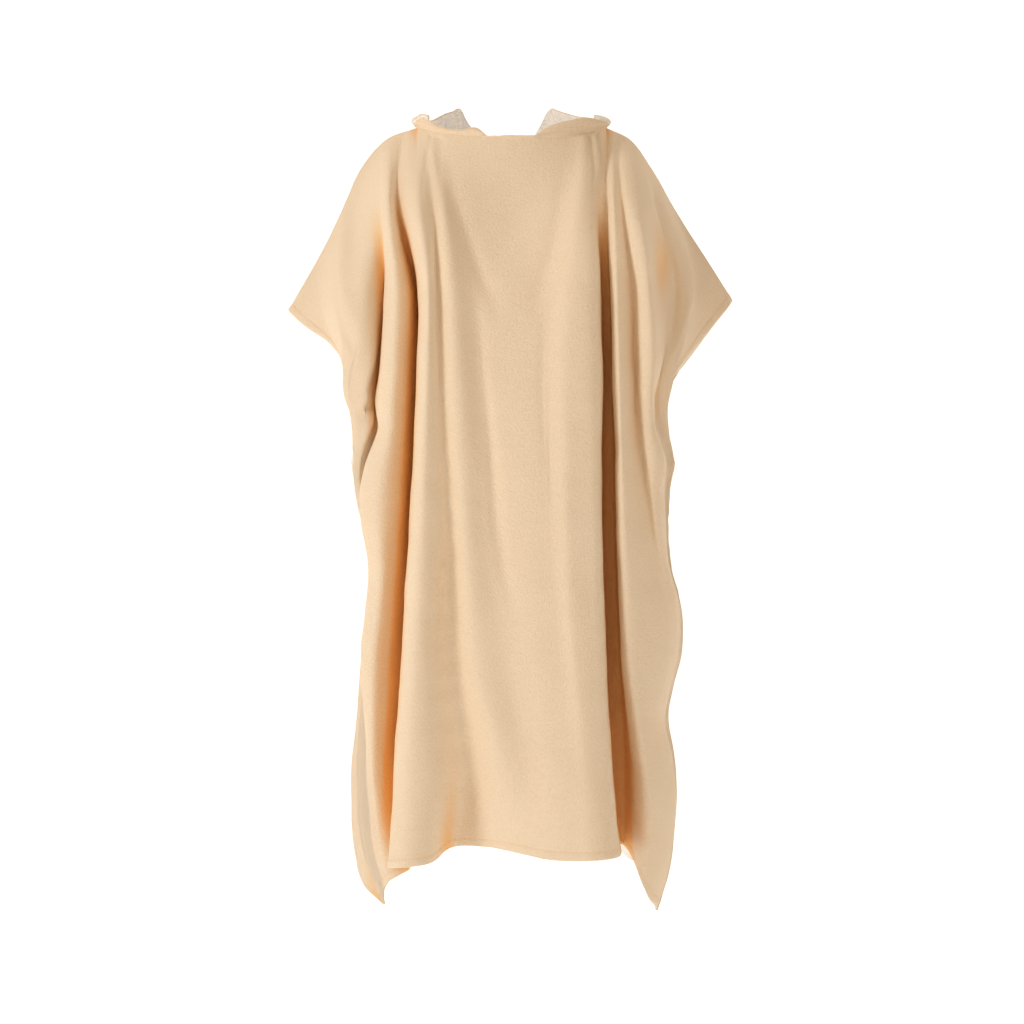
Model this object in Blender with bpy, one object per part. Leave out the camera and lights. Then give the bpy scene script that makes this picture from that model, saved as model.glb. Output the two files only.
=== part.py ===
"""Hooded bath poncho: two wide towelling panels, a neck band and a two-piece hood, hanging as worn.

Metres, +Z up. The front faces -Y and +X is at the viewer's right. The origin is midway between the two
points where the neck meets the shoulders. Every piece is a wall of double-faced cloth through fold lines:
each line runs from the shoulder or neck edge down to the hem, and a smooth curve joins the lines sideways.
"""

import math
from collections import namedtuple

import bpy
import numpy as np

OBJECT_NAME = "hooded_bath_poncho"

# Cloth
CLOTH = 0.0025
SEAM_GAP = 0.0003

# Neck opening, seen from above: a half ellipse in front and a half ellipse behind
NECK_SIDE = 0.1415
NECK_FRONT = 0.085
NECK_BACK = 0.095
NECK_DIP = 0.0235
NECK_BACK_DIP = 0.0125
NECK_WIDTH_ON_PANEL = 0.145
CORNER_TURN = 15.0
BAND_BULGE = 0.0022

# How finely each piece is sampled
# A column lies on each fold line and halfway between two, or nearer to the tight ones
PANEL_ROWS = 16
ROWS_TOWARDS_TOP = 1.3
HALFWAY = (0.50,)
NEARER_RIGHT = (0.72,)
NEARER_LEFT = (0.28,)
NEAR_BOTH = (0.20, 0.80)
ACROSS_NECK = (0.33, 0.67)
TIGHT_FOLDS = ("trough_1", "ridge_a_left", "trough_2", "ridge_b_left", "panel_right",
               "trough_6_left", "trough_6", "ridge_e_left")
SPARSE_AFTER = ("seam_left", "trough_6_left", "ridge_f", "sleeve_right")
NECK_FOLDS = ("trough_4", "centre", "trough_5")
HOOD_ROWS = 8

# The shoulder line on each side: place along the panel's top edge, then where it lies
Shoulder = namedtuple("Shoulder", "along left_x left_z right_x right_z")
SHOULDERS = (
    Shoulder(0.145, -0.1415, 0.000, 0.1415, 0.000),
    Shoulder(0.195, -0.188, -0.018, 0.180, -0.020),
    Shoulder(0.243, -0.222, -0.056, 0.209, -0.060),
    Shoulder(0.323, -0.256, -0.130, 0.249, -0.130),
    Shoulder(0.402, -0.292, -0.200, 0.292, -0.197),
    Shoulder(0.480, -0.334, -0.273, 0.331, -0.259),
)

# Heights at which each fold line is placed, between its top and its hem
HEIGHTS = (-0.12, -0.25, -0.36, -0.47, -0.62, -0.80, -0.97)

# One row a fold line, in millimetres. `top` is its place along the top edge, `x` and `y` its places at
# HEIGHTS (None above the shoulder line), and `hem` its place at the hem as (x, y, z).
Fold = namedtuple("Fold", "name top x y hem")
FRONT_FOLDS = (
    Fold("seam_left", -480, (None, None, -251, -223, -218, -222, -233),
         (None, None, -30, -12, 0, -6, -24), (-191, 4, -1164)),
    Fold("sleeve_edge_left", -420, (None, -292, -247, -227, -213, -220, -228),
         (None, -28, -56, -30, -12, -15, -32), (-190, -4, -1158)),
    Fold("sleeve_left", -350, (None, -261, -236, -221, -209, -217, -223),
         (None, -62, -78, -48, -24, -24, -40), (-188, -12, -1147)),
    Fold("sleeve_inner_left", -270, (-226, -219, -206, -213, -206, -215, -219),
         (-44, -84, -82, -54, -32, -32, -47), (-186, -18, -1140)),
    Fold("trough_1", -205, (-192, -188, -196, -202, -206, -214, -216),
         (-76, -56, -50, -38, -42, -40, -53), (-183, -25, -1134)),
    Fold("ridge_a_left", -196, (-188, -184, -190, -197, -218, -223, -212),
         (-90, -94, -92, -86, -74, -58, -60), (-180, -31, -1129)),
    Fold("ridge_a", -187, (-180, -168, -171, -179, -194, -204, -204),
         (-100, -114, -114, -111, -104, -88, -68), (-176, -36, -1123)),
    Fold("ridge_a_right", -177, (-175, -153, -155, -160, -170, -186, -188),
         (-92, -98, -98, -95, -88, -74, -59), (-168, -36, -1117)),
    Fold("trough_2", -167, (-168, -139, -136, -140, -147, -157, -165),
         (-80, -56, -48, -44, -42, -36, -30), (-152, -24, -1108)),
    Fold("ridge_b_left", -157, (-150, -134, -136, -141, -149, -160, -171),
         (-112, -122, -124, -126, -128, -128, -126), (-176, -124, -1093)),
    Fold("ridge_b", -145, (-136, -121, -122, -126, -132, -142, -150),
         (-124, -150, -160, -165, -167, -165, -161), (-154, -158, -1088)),
    Fold("ridge_b_right", -130, (-126, -114, -112, -109, -108, -109, -106),
         (-121, -144, -152, -156, -157, -156, -150), (-120, -146, -1084)),
    Fold("trough_3", -114, (-116, -108, -105, -99, -92, -83, -68),
         (-115, -132, -141, -145, -145, -136, -108), (-86, -76, -1068)),
    Fold("ridge_c", -97, (-102, -90, -82, -77, -68, -50, -18),
         (-122, -145, -153, -157, -158, -152, -140), (-34, -104, -1065)),
    Fold("trough_4", -74, (-80, -54, -43, -36, -32, -2, 22),
         (-113, -131, -142, -147, -149, -148, -148), (14, -136, -1071)),
    Fold("centre", 0, (0, 4, 12, 19, 27, 41, 54),
         (-103, -128, -143, -151, -155, -158, -160), (54, -156, -1077)),
    Fold("trough_5", 66, (70, 59, 52, 53, 56, 72, 86),
         (-111, -130, -145, -152, -156, -160, -165), (88, -164, -1078)),
    Fold("ridge_d", 98, (102, 90, 87, 87, 88, 98, 114),
         (-122, -146, -155, -159, -161, -163, -166), (120, -168, -1077)),
    Fold("panel_right", 118, (119, 122, 124, 124, 125, 131, 141),
         (-116, -138, -144, -148, -150, -152, -152), (153, -148, -1075)),
    Fold("trough_6_left", 130, (129, 134, 136, 137, 138, 145, 153),
         (-102, -72, -60, -55, -52, -44, -34), (158, -18, -1071)),
    Fold("trough_6", 138, (138, 145, 148, 150, 152, 160, 168),
         (-98, -68, -55, -50, -46, -36, -24), (168, -8, -1073)),
    Fold("ridge_e_left", 145, (142, 146, 149, 152, 156, 164, 183),
         (-106, -114, -117, -117, -113, -104, -86), (183, -60, -1098)),
    Fold("ridge_e", 156, (149, 153, 156, 159, 163, 174, 196),
         (-116, -131, -135, -135, -131, -122, -104), (191, -76, -1126)),
    Fold("trough_7", 166, (161, 178, 182, 189, 205, 220, 219),
         (-106, -98, -96, -96, -94, -86, -80), (203, -66, -1148)),
    Fold("ridge_f_left", 176, (168, 185, 189, 196, 214, 232, 232),
         (-117, -117, -117, -114, -96, -64, -54), (210, -46, -1157)),
    Fold("ridge_f", 188, (184, 201, 207, 212, 224, 241, 238),
         (-116, -122, -121, -110, -70, -40, -32), (214, -30, -1163)),
    Fold("ridge_f_right", 206, (206, 217, 222, 221, 228, 245, 238),
         (-88, -86, -84, -72, -40, -26, -22), (216, -20, -1166)),
    Fold("trough_8", 246, (219, 234, 224, 217, 226, 246, 237),
         (-58, -56, -50, -44, -24, -18, -15), (217, -13, -1168)),
    Fold("sleeve_right", 335, (None, 269, 242, 229, 229, 247, 236),
         (None, -50, -42, -24, -11, -10, -8), (218, -7, -1170)),
    Fold("seam_right", 480, (None, None, 255, 240, 232, 247, 234),
         (None, None, -24, -6, 0, 0, 0), (218, 0, -1172)),
)
BACK_FOLDS = (
    Fold("seam_left", -480, (None, None, -250, -231, -218, -222, -233),
         (None, None, 26, 8, 0, -6, -24), (-191, 4, -1164)),
    Fold("sleeve_left", -390, (None, -278, -244, -228, -217, -227, -241),
         (None, 36, 50, 38, 22, 14, 2), (-216, 22, -1140)),
    Fold("shoulder_left", -290, (-228, -232, -227, -219, -212, -222, -236),
         (36, 70, 76, 66, 56, 52, 48), (-226, 50, -1112)),
    Fold("ridge_left", -225, (-196, -196, -196, -197, -198, -206, -212),
         (70, 92, 102, 104, 102, 100, 96), (-208, 92, -1098)),
    Fold("trough_left", -190, (-166, -164, -163, -162, -162, -166, -170),
         (76, 66, 58, 52, 48, 44, 42), (-168, 40, -1092)),
    Fold("ridge_mid_left", -150, (-138, -130, -126, -124, -124, -128, -134),
         (92, 106, 116, 124, 130, 134, 136), (-134, 136, -1086)),
    Fold("trough_mid_left", -104, (-98, -92, -88, -86, -84, -82, -82),
         (98, 100, 96, 90, 84, 78, 74), (-82, 72, -1082)),
    Fold("ridge_centre_left", -54, (-52, -50, -48, -46, -42, -38, -36),
         (110, 122, 132, 140, 146, 150, 152), (-34, 152, -1084)),
    Fold("trough_centre", 0, (0, 0, 2, 4, 6, 8, 10),
         (110, 114, 114, 112, 108, 104, 100), (12, 98, -1082)),
    Fold("ridge_centre_right", 54, (52, 52, 52, 54, 56, 58, 62),
         (110, 122, 132, 140, 147, 152, 155), (64, 156, -1085)),
    Fold("trough_mid_right", 104, (98, 94, 92, 92, 94, 98, 104),
         (98, 98, 92, 84, 76, 70, 66), (106, 64, -1083)),
    Fold("ridge_mid_right", 150, (138, 132, 130, 130, 134, 142, 150),
         (92, 108, 118, 126, 132, 134, 134), (152, 132, -1090)),
    Fold("trough_right", 190, (164, 164, 164, 166, 170, 180, 188),
         (78, 68, 60, 54, 50, 48, 46), (184, 46, -1104)),
    Fold("ridge_right", 225, (194, 198, 200, 200, 206, 220, 222),
         (72, 94, 102, 104, 102, 98, 92), (210, 84, -1122)),
    Fold("shoulder_right", 290, (221, 236, 229, 222, 224, 246, 240),
         (36, 70, 74, 66, 56, 50, 46), (220, 44, -1142)),
    Fold("sleeve_right", 390, (None, 280, 251, 231, 231, 252, 243),
         (None, 38, 48, 36, 22, 18, 16), (222, 16, -1162)),
    Fold("seam_right", 480, (None, None, 260, 240, 232, 247, 234),
         (None, None, 24, 6, 0, 0, 0), (218, 0, -1172)),
)
ARMHOLE_END = {"left": -0.505, "right": -0.492}

# How the side edges sway in and out on their way down, in millimetres along X. Cloth nearby sways along.
Sway = namedtuple("Sway", "height left right")
EDGE_SWAYS = (
    Sway(-0.250, 0, 0),
    Sway(-0.300, 2, 0),
    Sway(-0.325, 12, 0),
    Sway(-0.345, 8, -1),
    Sway(-0.375, -6, -10),
    Sway(-0.400, -11, -18),
    Sway(-0.430, -3, -16),
    Sway(-0.450, 6, -14),
    Sway(-0.475, -4, -2),
    Sway(-0.500, -13, 6),
    Sway(-0.540, -15, 3),
    Sway(-0.590, -5, 2),
    Sway(-0.650, 9, 4),
    Sway(-0.720, 8, 11),
    Sway(-0.780, 2, 5),
    Sway(-0.840, 2, -10),
    Sway(-0.885, 4, -15),
    Sway(-0.940, 4, -2),
    Sway(-1.000, 0, 9),
    Sway(-1.060, -9, 11),
    Sway(-1.120, -9, 9),
    Sway(-1.165, 0, 0),
)
SWAY_REACH = 0.032

# The neck band, by the turn round the neck from the front (0) to the back (180 degrees)
Band = namedtuple("Band", "turn left right lean")
BAND_SECTIONS = (
    Band(15, 0.0015, 0.0015, 0.0000),
    Band(21, 0.0120, 0.0120, 0.0000),
    Band(30, 0.0095, 0.0195, 0.0005),
    Band(40, 0.0080, 0.0225, 0.0010),
    Band(50, 0.0105, 0.0225, 0.0015),
    Band(62, 0.0165, 0.0160, 0.0020),
    Band(71, 0.0150, 0.0110, 0.0025),
    Band(80, 0.0085, 0.0075, 0.0030),
    Band(95, 0.0060, 0.0060, 0.0030),
    Band(110, 0.0070, 0.0070, 0.0020),
    Band(145, 0.0110, 0.0110, 0.0030),
    Band(180, 0.0100, 0.0100, 0.0060),
)

# The hood's face edge above the origin, how far the edge is thrown back, and the pouch's depth
Hood = namedtuple("Hood", "turn left_rise right_rise throw depth")
HOOD_SECTIONS = (
    Hood(60, 0.0125, 0.0125, 0.000, 0.000),
    Hood(71, 0.0155, 0.0125, 0.001, 0.000),
    Hood(80, 0.0125, 0.0115, 0.003, 0.000),
    Hood(95, 0.0130, 0.0130, 0.009, 0.001),
    Hood(107, 0.0140, 0.0170, 0.017, 0.004),
    Hood(116, 0.0160, 0.0215, 0.024, 0.015),
    Hood(126, 0.0240, 0.0270, 0.034, 0.035),
    Hood(143, 0.0420, 0.0370, 0.052, 0.125),
    Hood(150, 0.0455, 0.0440, 0.058, 0.165),
    Hood(153, 0.0320, 0.0470, 0.061, 0.185),
    Hood(157, 0.0180, 0.0500, 0.065, 0.205),
    Hood(160, 0.0100, 0.0420, 0.069, 0.220),
    Hood(164, 0.0030, 0.0220, 0.073, 0.238),
    Hood(170, -0.0060, -0.0020, 0.078, 0.250),
    Hood(180, -0.0090, -0.0090, 0.084, 0.262),
)
# The pouch's section, from the band's top edge to the face edge, as shares of the throw and of the depth
Pouch = namedtuple("Pouch", "place out down")
POUCH = (
    Pouch(0.00, 0.00, 0.00),
    Pouch(0.10, 0.36, 0.03),
    Pouch(0.28, 0.52, 0.46),
    Pouch(0.42, 0.60, 0.86),
    Pouch(0.50, 0.72, 1.00),
    Pouch(0.58, 0.90, 0.92),
    Pouch(0.76, 1.08, 0.50),
    Pouch(0.92, 1.06, 0.12),
    Pouch(1.00, 1.00, 0.00),
)

# Finishes: colour, roughness
PEACH = ((0.93, 0.73, 0.50, 1.0), 0.90)
PEACH_BACK = ((0.90, 0.70, 0.47, 1.0), 0.90)
PEACH_BAND = ((0.87, 0.67, 0.44, 1.0), 0.90)
TERRY_LEFT = ((0.84, 0.76, 0.68, 1.0), 0.95)
TERRY_RIGHT = ((0.80, 0.72, 0.64, 1.0), 0.95)


def clear_scene():
    for obj in list(bpy.data.objects):
        bpy.data.objects.remove(obj, do_unlink=True)


def unit(vectors):
    return vectors / np.maximum(np.linalg.norm(vectors, axis=-1, keepdims=True), 1e-9)


def smooth_curve(knots, values, at):
    """A cubic through the values at the knots. Its slope at each knot comes from both neighbours."""
    knots = np.asarray(knots, float)
    values = np.asarray(values, float)
    at = np.clip(np.asarray(at, float), knots[0], knots[-1])
    gaps = np.diff(knots)
    rises = np.diff(values, axis=0) / gaps.reshape(-1, *[1] * (values.ndim - 1))
    slopes = np.empty_like(values)
    slopes[0] = rises[0]
    slopes[-1] = rises[-1]
    for k in range(1, len(knots) - 1):
        slopes[k] = (gaps[k] * rises[k - 1] + gaps[k - 1] * rises[k]) / (gaps[k] + gaps[k - 1])
    span = np.clip(np.searchsorted(knots, at, side="right") - 1, 0, len(gaps) - 1)
    shape = (-1,) + (1,) * (values.ndim - 1)
    gap = gaps[span].reshape(shape)
    s = ((at - knots[span]) / gaps[span]).reshape(shape)
    start = (1 + 2 * s) * (1 - s) ** 2 * values[span]
    end = s * s * (3 - 2 * s) * values[span + 1]
    tangents = s * (1 - s) ** 2 * slopes[span] - s * s * (1 - s) * slopes[span + 1]
    return start + end + gap * tangents


def neck_point(turn, side):
    """A point on the neck seam, by the turn in degrees from the front centre, and the side, -1 or 1."""
    angle = math.radians(turn)
    forward = math.cos(angle)
    reach = NECK_FRONT if forward > 0 else NECK_BACK
    dip = NECK_DIP * (1 - math.sin(angle) ** 4) if forward > 0 else NECK_BACK_DIP * forward ** 6
    return np.array((side * NECK_SIDE * math.sin(angle), -reach * forward, -dip))


def top_point(along, facing):
    """A point on a panel's top edge: on the shoulder line, or on the front or back of the neck seam."""
    side = -1 if along < 0 else 1
    reach = abs(along)
    if reach < NECK_WIDTH_ON_PANEL:
        turn = 90 * reach / NECK_WIDTH_ON_PANEL
        return neck_point(turn if facing < 0 else 180 - turn, side)
    columns = ("left_x", "left_z") if side < 0 else ("right_x", "right_z")
    knots = [row.along for row in SHOULDERS]
    x, z = (smooth_curve(knots, [getattr(row, name) for row in SHOULDERS], [reach])[0] for name in columns)
    return np.array((x, 0.0, z))


def fold_line(fold, facing, rows):
    """The points of one fold line, from the top edge to the hem."""
    top = top_point(fold.top / 1000, facing)
    knots = [tuple(top)]
    for height, x, y in zip(HEIGHTS, fold.x, fold.y):
        if x is not None and height < top[2] - 0.04:
            knots.append((x / 1000, y / 1000, height))
    knots.append(tuple(value / 1000 for value in fold.hem))
    knots = np.array(knots)
    share = np.linspace(0, 1, rows) ** ROWS_TOWARDS_TOP
    fall = top[2] + (knots[-1][2] - top[2]) * share
    across = smooth_curve(-knots[:, 2], knots[:, :2], -fall)
    return np.column_stack((across, fall))


def fold_lines(folds, facing):
    lines = np.array([fold_line(fold, facing, PANEL_ROWS) for fold in folds])
    depths = [-row.height for row in EDGE_SWAYS]
    moved = lines.copy()
    for edge, side in ((lines[0], "left"), (lines[-1], "right")):
        sways = [getattr(row, side) / 1000 for row in EDGE_SWAYS]
        for line, result in zip(lines, moved):
            apart = line[:, 0] - np.interp(-line[:, 2], -edge[:, 2], edge[:, 0])
            near = np.exp(-((apart / SWAY_REACH) ** 2))
            result[:, 0] += near * smooth_curve(depths, sways, -line[:, 2])
    return moved


def panel_surface(lines, tops, columns, facing):
    """The panel's middle surface as rows of points. Columns are given as places between numbered folds."""
    surface = np.empty((lines.shape[1], len(columns), 3))
    numbers = np.arange(len(lines))
    for row, across in enumerate(lines.transpose(1, 0, 2)):
        steps = np.sqrt(np.linalg.norm(np.diff(across, axis=0), axis=1))
        knots = np.concatenate(([0.0], np.cumsum(steps)))
        surface[row] = smooth_curve(knots, across, np.interp(columns, numbers, knots))
    for column, along in enumerate(tops):
        surface[0, column] = top_point(along, facing)
    return surface


def places_along_top(folds):
    return [fold.top / 1000 for fold in folds]


def panel_columns():
    """The columns of both panels, as places between the front's numbered folds."""
    columns = [0.0]
    for number, (left, right) in enumerate(zip(FRONT_FOLDS, FRONT_FOLDS[1:])):
        tight = (left.name in TIGHT_FOLDS, right.name in TIGHT_FOLDS)
        shares = {
            (False, False): HALFWAY,
            (False, True): NEARER_RIGHT,
            (True, False): NEARER_LEFT,
            (True, True): NEAR_BOTH,
        }[tight]
        if left.name in NECK_FOLDS and right.name in NECK_FOLDS:
            shares = ACROSS_NECK
        if left.name in SPARSE_AFTER:
            shares = ()
        columns.extend(number + share for share in shares + (1.0,))
    return np.array(columns)


def panel_surfaces():
    """Both panels' middle surfaces, with the same columns, and the columns' places along the top edge."""
    front_lines = fold_lines(FRONT_FOLDS, -1)
    back_lines = fold_lines(BACK_FOLDS, 1)
    for line, side in ((0, "left"), (-1, "right")):
        sewn = front_lines[line][:, 2] < ARMHOLE_END[side]
        back_lines[line][sewn] = front_lines[line][sewn]
    columns = panel_columns()
    tops = np.interp(columns, np.arange(len(FRONT_FOLDS)), places_along_top(FRONT_FOLDS))
    back_columns = np.interp(tops, places_along_top(BACK_FOLDS), np.arange(len(BACK_FOLDS)))
    front = panel_surface(front_lines, tops, columns, -1)
    back = panel_surface(back_lines, tops, back_columns, 1)
    return front, back, tops


def surface_normals(surface):
    down = np.gradient(surface, axis=0)
    right = np.gradient(surface, axis=1)
    return unit(np.cross(right, down))


def join_at_edge(front, back, normals_front, normals_back):
    """Gives two meeting edges one shared outward direction, and moves each half the seam gap away."""
    along = unit(np.gradient(front["edge"], axis=0))
    across = front["next"] - back["next"]
    across = unit(across - along * np.sum(across * along, axis=1, keepdims=True))
    outward = unit(np.cross(across, along))
    outward *= np.sign(np.sum(outward * (normals_front + normals_back), axis=1, keepdims=True))
    return outward, across * SEAM_GAP / 2


def sew_panels(front, back):
    """The normals of both panels, shared along the shoulders and side seams."""
    normals_front = -surface_normals(front)
    normals_back = surface_normals(back)
    moved_front = front.copy()
    moved_back = back.copy()
    for column, inner in ((0, 1), (-1, -2)):
        end = ARMHOLE_END["left" if column == 0 else "right"]
        sewn = front[:, column, 2] < end
        outward, shift = join_at_edge(
            {"edge": front[:, column], "next": front[:, inner]},
            {"next": back[:, inner]},
            normals_front[:, column],
            normals_back[:, column],
        )
        normals_front[sewn, column] = outward[sewn]
        normals_back[sewn, column] = outward[sewn]
        moved_front[sewn, column] += shift[sewn]
        moved_back[sewn, column] -= shift[sewn]
    sewn = np.abs(front[0, :, 1] - back[0, :, 1]) < 1e-6
    slope = unit(np.gradient(front[0], axis=0))
    outward = unit(np.cross(slope, np.array((0.0, 1.0, 0.0))))
    outward *= np.sign(outward[:, 2:3])
    normals_front[0, sewn] = outward[sewn]
    normals_back[0, sewn] = outward[sewn]
    moved_front[0, sewn, 1] -= SEAM_GAP / 2
    moved_back[0, sewn, 1] += SEAM_GAP / 2
    return moved_front, moved_back, normals_front, normals_back


def neck_outward(turn, side):
    """The direction out of the cloth at the neck seam, and the direction down across it."""
    angle = math.radians(turn)
    forward = math.cos(angle)
    reach = NECK_FRONT if forward > 0 else NECK_BACK
    out = unit(np.array((side * math.sin(angle) / NECK_SIDE, -forward / reach, 0.0)))
    outward = 0.8 * out + np.array((0.0, 0.0, 0.6))
    down = 0.6 * out - np.array((0.0, 0.0, 0.8))
    return out, outward, down


def fit_to_neck(surface, normals, tops, facing):
    """Turns a panel's top edge to face the neck band, half a seam gap below it."""
    for column, along in enumerate(tops):
        if abs(along) > NECK_WIDTH_ON_PANEL + 1e-6:
            continue
        turn = 90 * abs(along) / NECK_WIDTH_ON_PANEL
        _, outward, down = neck_outward(turn if facing < 0 else 180 - turn, -1 if along < 0 else 1)
        normals[0, column] = outward
        surface[0, column] += down * SEAM_GAP / 2


def cloth_wall(name, surface, normals, thickness=CLOTH):
    """A closed wall about a surface given as rows of points, half the thickness to each side."""
    rows, columns = surface.shape[:2]
    outer = (surface + normals * thickness / 2).reshape(-1, 3)
    inner = (surface - normals * thickness / 2).reshape(-1, 3)
    back = rows * columns
    faces = []
    for row in range(rows - 1):
        for column in range(columns - 1):
            a = row * columns + column
            b, c, d = a + 1, a + columns + 1, a + columns
            faces.append((a, b, c, d))
            faces.append((back + a, back + d, back + c, back + b))
    rim = list(range(columns))
    rim += [row * columns + columns - 1 for row in range(1, rows)]
    rim += [(rows - 1) * columns + column for column in range(columns - 2, -1, -1)]
    rim += [row * columns for row in range(rows - 2, 0, -1)]
    for here, there in zip(rim, rim[1:] + rim[:1]):
        faces.append((there, here, back + here, back + there))
    mesh = bpy.data.meshes.new(name)
    mesh.from_pydata(np.vstack((outer, inner)).tolist(), [], faces)
    mesh.update()
    if signed_volume(mesh) < 0:
        mesh.flip_normals()
    mesh.shade_smooth()
    return bpy.data.objects.new(name, mesh)


def signed_volume(mesh):
    mesh.calc_loop_triangles()
    corners = np.array([[mesh.vertices[v].co for v in tri.vertices] for tri in mesh.loop_triangles])
    return np.linalg.det(corners).sum() / 6


def cloth_material(name, finish):
    colour, roughness = finish
    material = bpy.data.materials.new(name)
    material.use_nodes = True
    shader = material.node_tree.nodes["Principled BSDF"]
    shader.inputs["Base Color"].default_value = colour
    shader.inputs["Roughness"].default_value = roughness
    shader.inputs["Metallic"].default_value = 0.0
    material.diffuse_color = colour
    return material


def add_piece(collection, obj, finish):
    obj.data.materials.append(cloth_material(obj.name + "_cloth", finish))
    collection.objects.link(obj)


def add_panels(collection, front, back, tops):
    front, back, normals_front, normals_back = sew_panels(front, back)
    fit_to_neck(front, normals_front, tops, -1)
    fit_to_neck(back, normals_back, tops, 1)
    add_piece(collection, cloth_wall("front_panel", front, normals_front), PEACH)
    add_piece(collection, cloth_wall("back_panel", back, normals_back), PEACH_BACK)


def neck_ring(tops):
    """The neck seam's columns as (turn, side), from the front left corner round the back to the right one."""
    own = [(90 * abs(top) / NECK_WIDTH_ON_PANEL, -1 if top < 0 else 1) for top in tops if abs(top) < 0.1451]
    left = [(turn, -1) for turn, side in own if side < 0]
    right = [(turn, 1) for turn, side in own if side > 0 and turn > 0]
    ring = [(CORNER_TURN, -1)]
    ring += [column for column in left[::-1] if column[0] > CORNER_TURN + 4]
    ring += [(180 - turn, -1) for turn, _ in left[1:]] + [(180.0, 1)]
    ring += [(180 - turn, 1) for turn, _ in right[:-1]]
    ring += [column for column in right[::-1] if column[0] > CORNER_TURN + 4]
    return ring + [(CORNER_TURN, 1)]


def corner_foot(side, turns):
    """The band's foot at its front corner, on the straight edge between the columns each side of it."""
    low = max(turn for turn in turns if turn < CORNER_TURN)
    high = min(turn for turn in turns if turn > CORNER_TURN)
    share = (CORNER_TURN - low) / (high - low)
    return neck_point(low, side) * (1 - share) + neck_point(high, side) * share


def band_top(turn, side):
    """The band's top edge on the cloth's middle surface."""
    knots = [row.turn for row in BAND_SECTIONS]
    heights = [(row.left if side < 0 else row.right, row.lean) for row in BAND_SECTIONS]
    height, lean = smooth_curve(knots, heights, [turn])[0]
    out, _, _ = neck_outward(turn, side)
    return neck_point(turn, side) + out * lean + np.array((0.0, 0.0, height))


def hood_join(turn, side):
    """The outward direction that the band's top edge and the hood share, and the direction across it."""
    section = hood_section(turn, side, np.array((0.0, 0.06)))
    across = unit(unit(section[1] - section[0]) + np.array((0.0, 0.0, 1.0)))
    out, _, _ = neck_outward(turn, side)
    level = float(np.dot(across, out))
    rise = math.sqrt(max(1 - level * level, 0.0))
    return out * rise - np.array((0.0, 0.0, level)), out * level + np.array((0.0, 0.0, rise))


def add_neck_band(collection, tops):
    ring = neck_ring(tops)
    surface = np.empty((3, len(ring), 3))
    normals = np.empty_like(surface)
    for column, (turn, side) in enumerate(ring):
        out, outward, down = neck_outward(turn, side)
        foot = neck_point(turn, side)
        if turn == CORNER_TURN:
            reaches = {90 * abs(top) / NECK_WIDTH_ON_PANEL for top in tops if side * top >= 0}
            foot = corner_foot(side, reaches)
        foot = foot - down * SEAM_GAP / 2
        top = band_top(turn, side)
        top_outward = out
        if turn >= HOOD_SECTIONS[0].turn:
            top_outward, across = hood_join(turn, side)
            top = top - across * SEAM_GAP / 2
        surface[:, column] = (foot, (foot + top) / 2 + out * BAND_BULGE, top)
        normals[:, column] = (outward, unit(out + 0.15 * outward), top_outward)
    add_piece(collection, cloth_wall("neck_band", surface, normals), PEACH_BAND)


def hood_section(turn, side, places):
    """One section of the hood, from the band's top edge to the face edge."""
    knots = [row.turn for row in HOOD_SECTIONS]
    rises = "left_rise" if side < 0 else "right_rise"
    values = [(getattr(row, rises), row.throw, row.depth) for row in HOOD_SECTIONS]
    rise, throw, depth = smooth_curve(knots, values, [turn])[0]
    out, _, _ = neck_outward(turn, side)
    start = band_top(turn, side)
    backward = unit(np.array((0.25 * out[0], 1.0, 0.0)))
    shares = smooth_curve([row.place for row in POUCH], [(row.out, row.down) for row in POUCH], places)
    points = start + shares[:, :1] * throw * backward
    points[:, 2] += places * (rise - start[2]) - shares[:, 1] * depth
    return points


def add_hood_half(collection, name, side, tops, finish):
    turns = sorted({turn for turn, own in neck_ring(tops) if turn >= HOOD_SECTIONS[0].turn
                    and (own == side or turn == 180)})
    places = np.linspace(0, 1, HOOD_ROWS)
    surface = np.array([hood_section(turn, side, places) for turn in turns]).transpose(1, 0, 2)
    normals = surface_normals(surface) * side
    normals[:, -1, 0] = 0.0
    normals = unit(normals)
    for column, turn in enumerate(turns):
        normals[0, column], across = hood_join(turn, side)
        surface[0, column] += across * SEAM_GAP / 2
    surface[:, -1, 0] = side * SEAM_GAP / 2
    add_piece(collection, cloth_wall(name, surface, normals), finish)


def main():
    clear_scene()
    collection = bpy.data.collections.new(OBJECT_NAME)
    bpy.context.scene.collection.children.link(collection)
    front, back, tops = panel_surfaces()
    add_panels(collection, front, back, tops)
    add_neck_band(collection, tops)
    add_hood_half(collection, "hood_left", -1, tops, TERRY_LEFT)
    add_hood_half(collection, "hood_right", 1, tops, TERRY_RIGHT)


main()
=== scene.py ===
"""Hooded bath poncho in peach towelling with cream terry inside, hanging in the hollow form it is worn in.

Metres, +Z up, the front faces -Y. Each maker's piece is a closed thin shell over fold lines that run from
its top edge to its hem. Creases, hems, puckers and nap are then laid on it in cloth lengths.
"""
import math
from collections import namedtuple

import bpy
import numpy as np
from bpy.props import FloatProperty, FloatVectorProperty, IntProperty, PointerProperty
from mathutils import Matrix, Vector, noise


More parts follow.
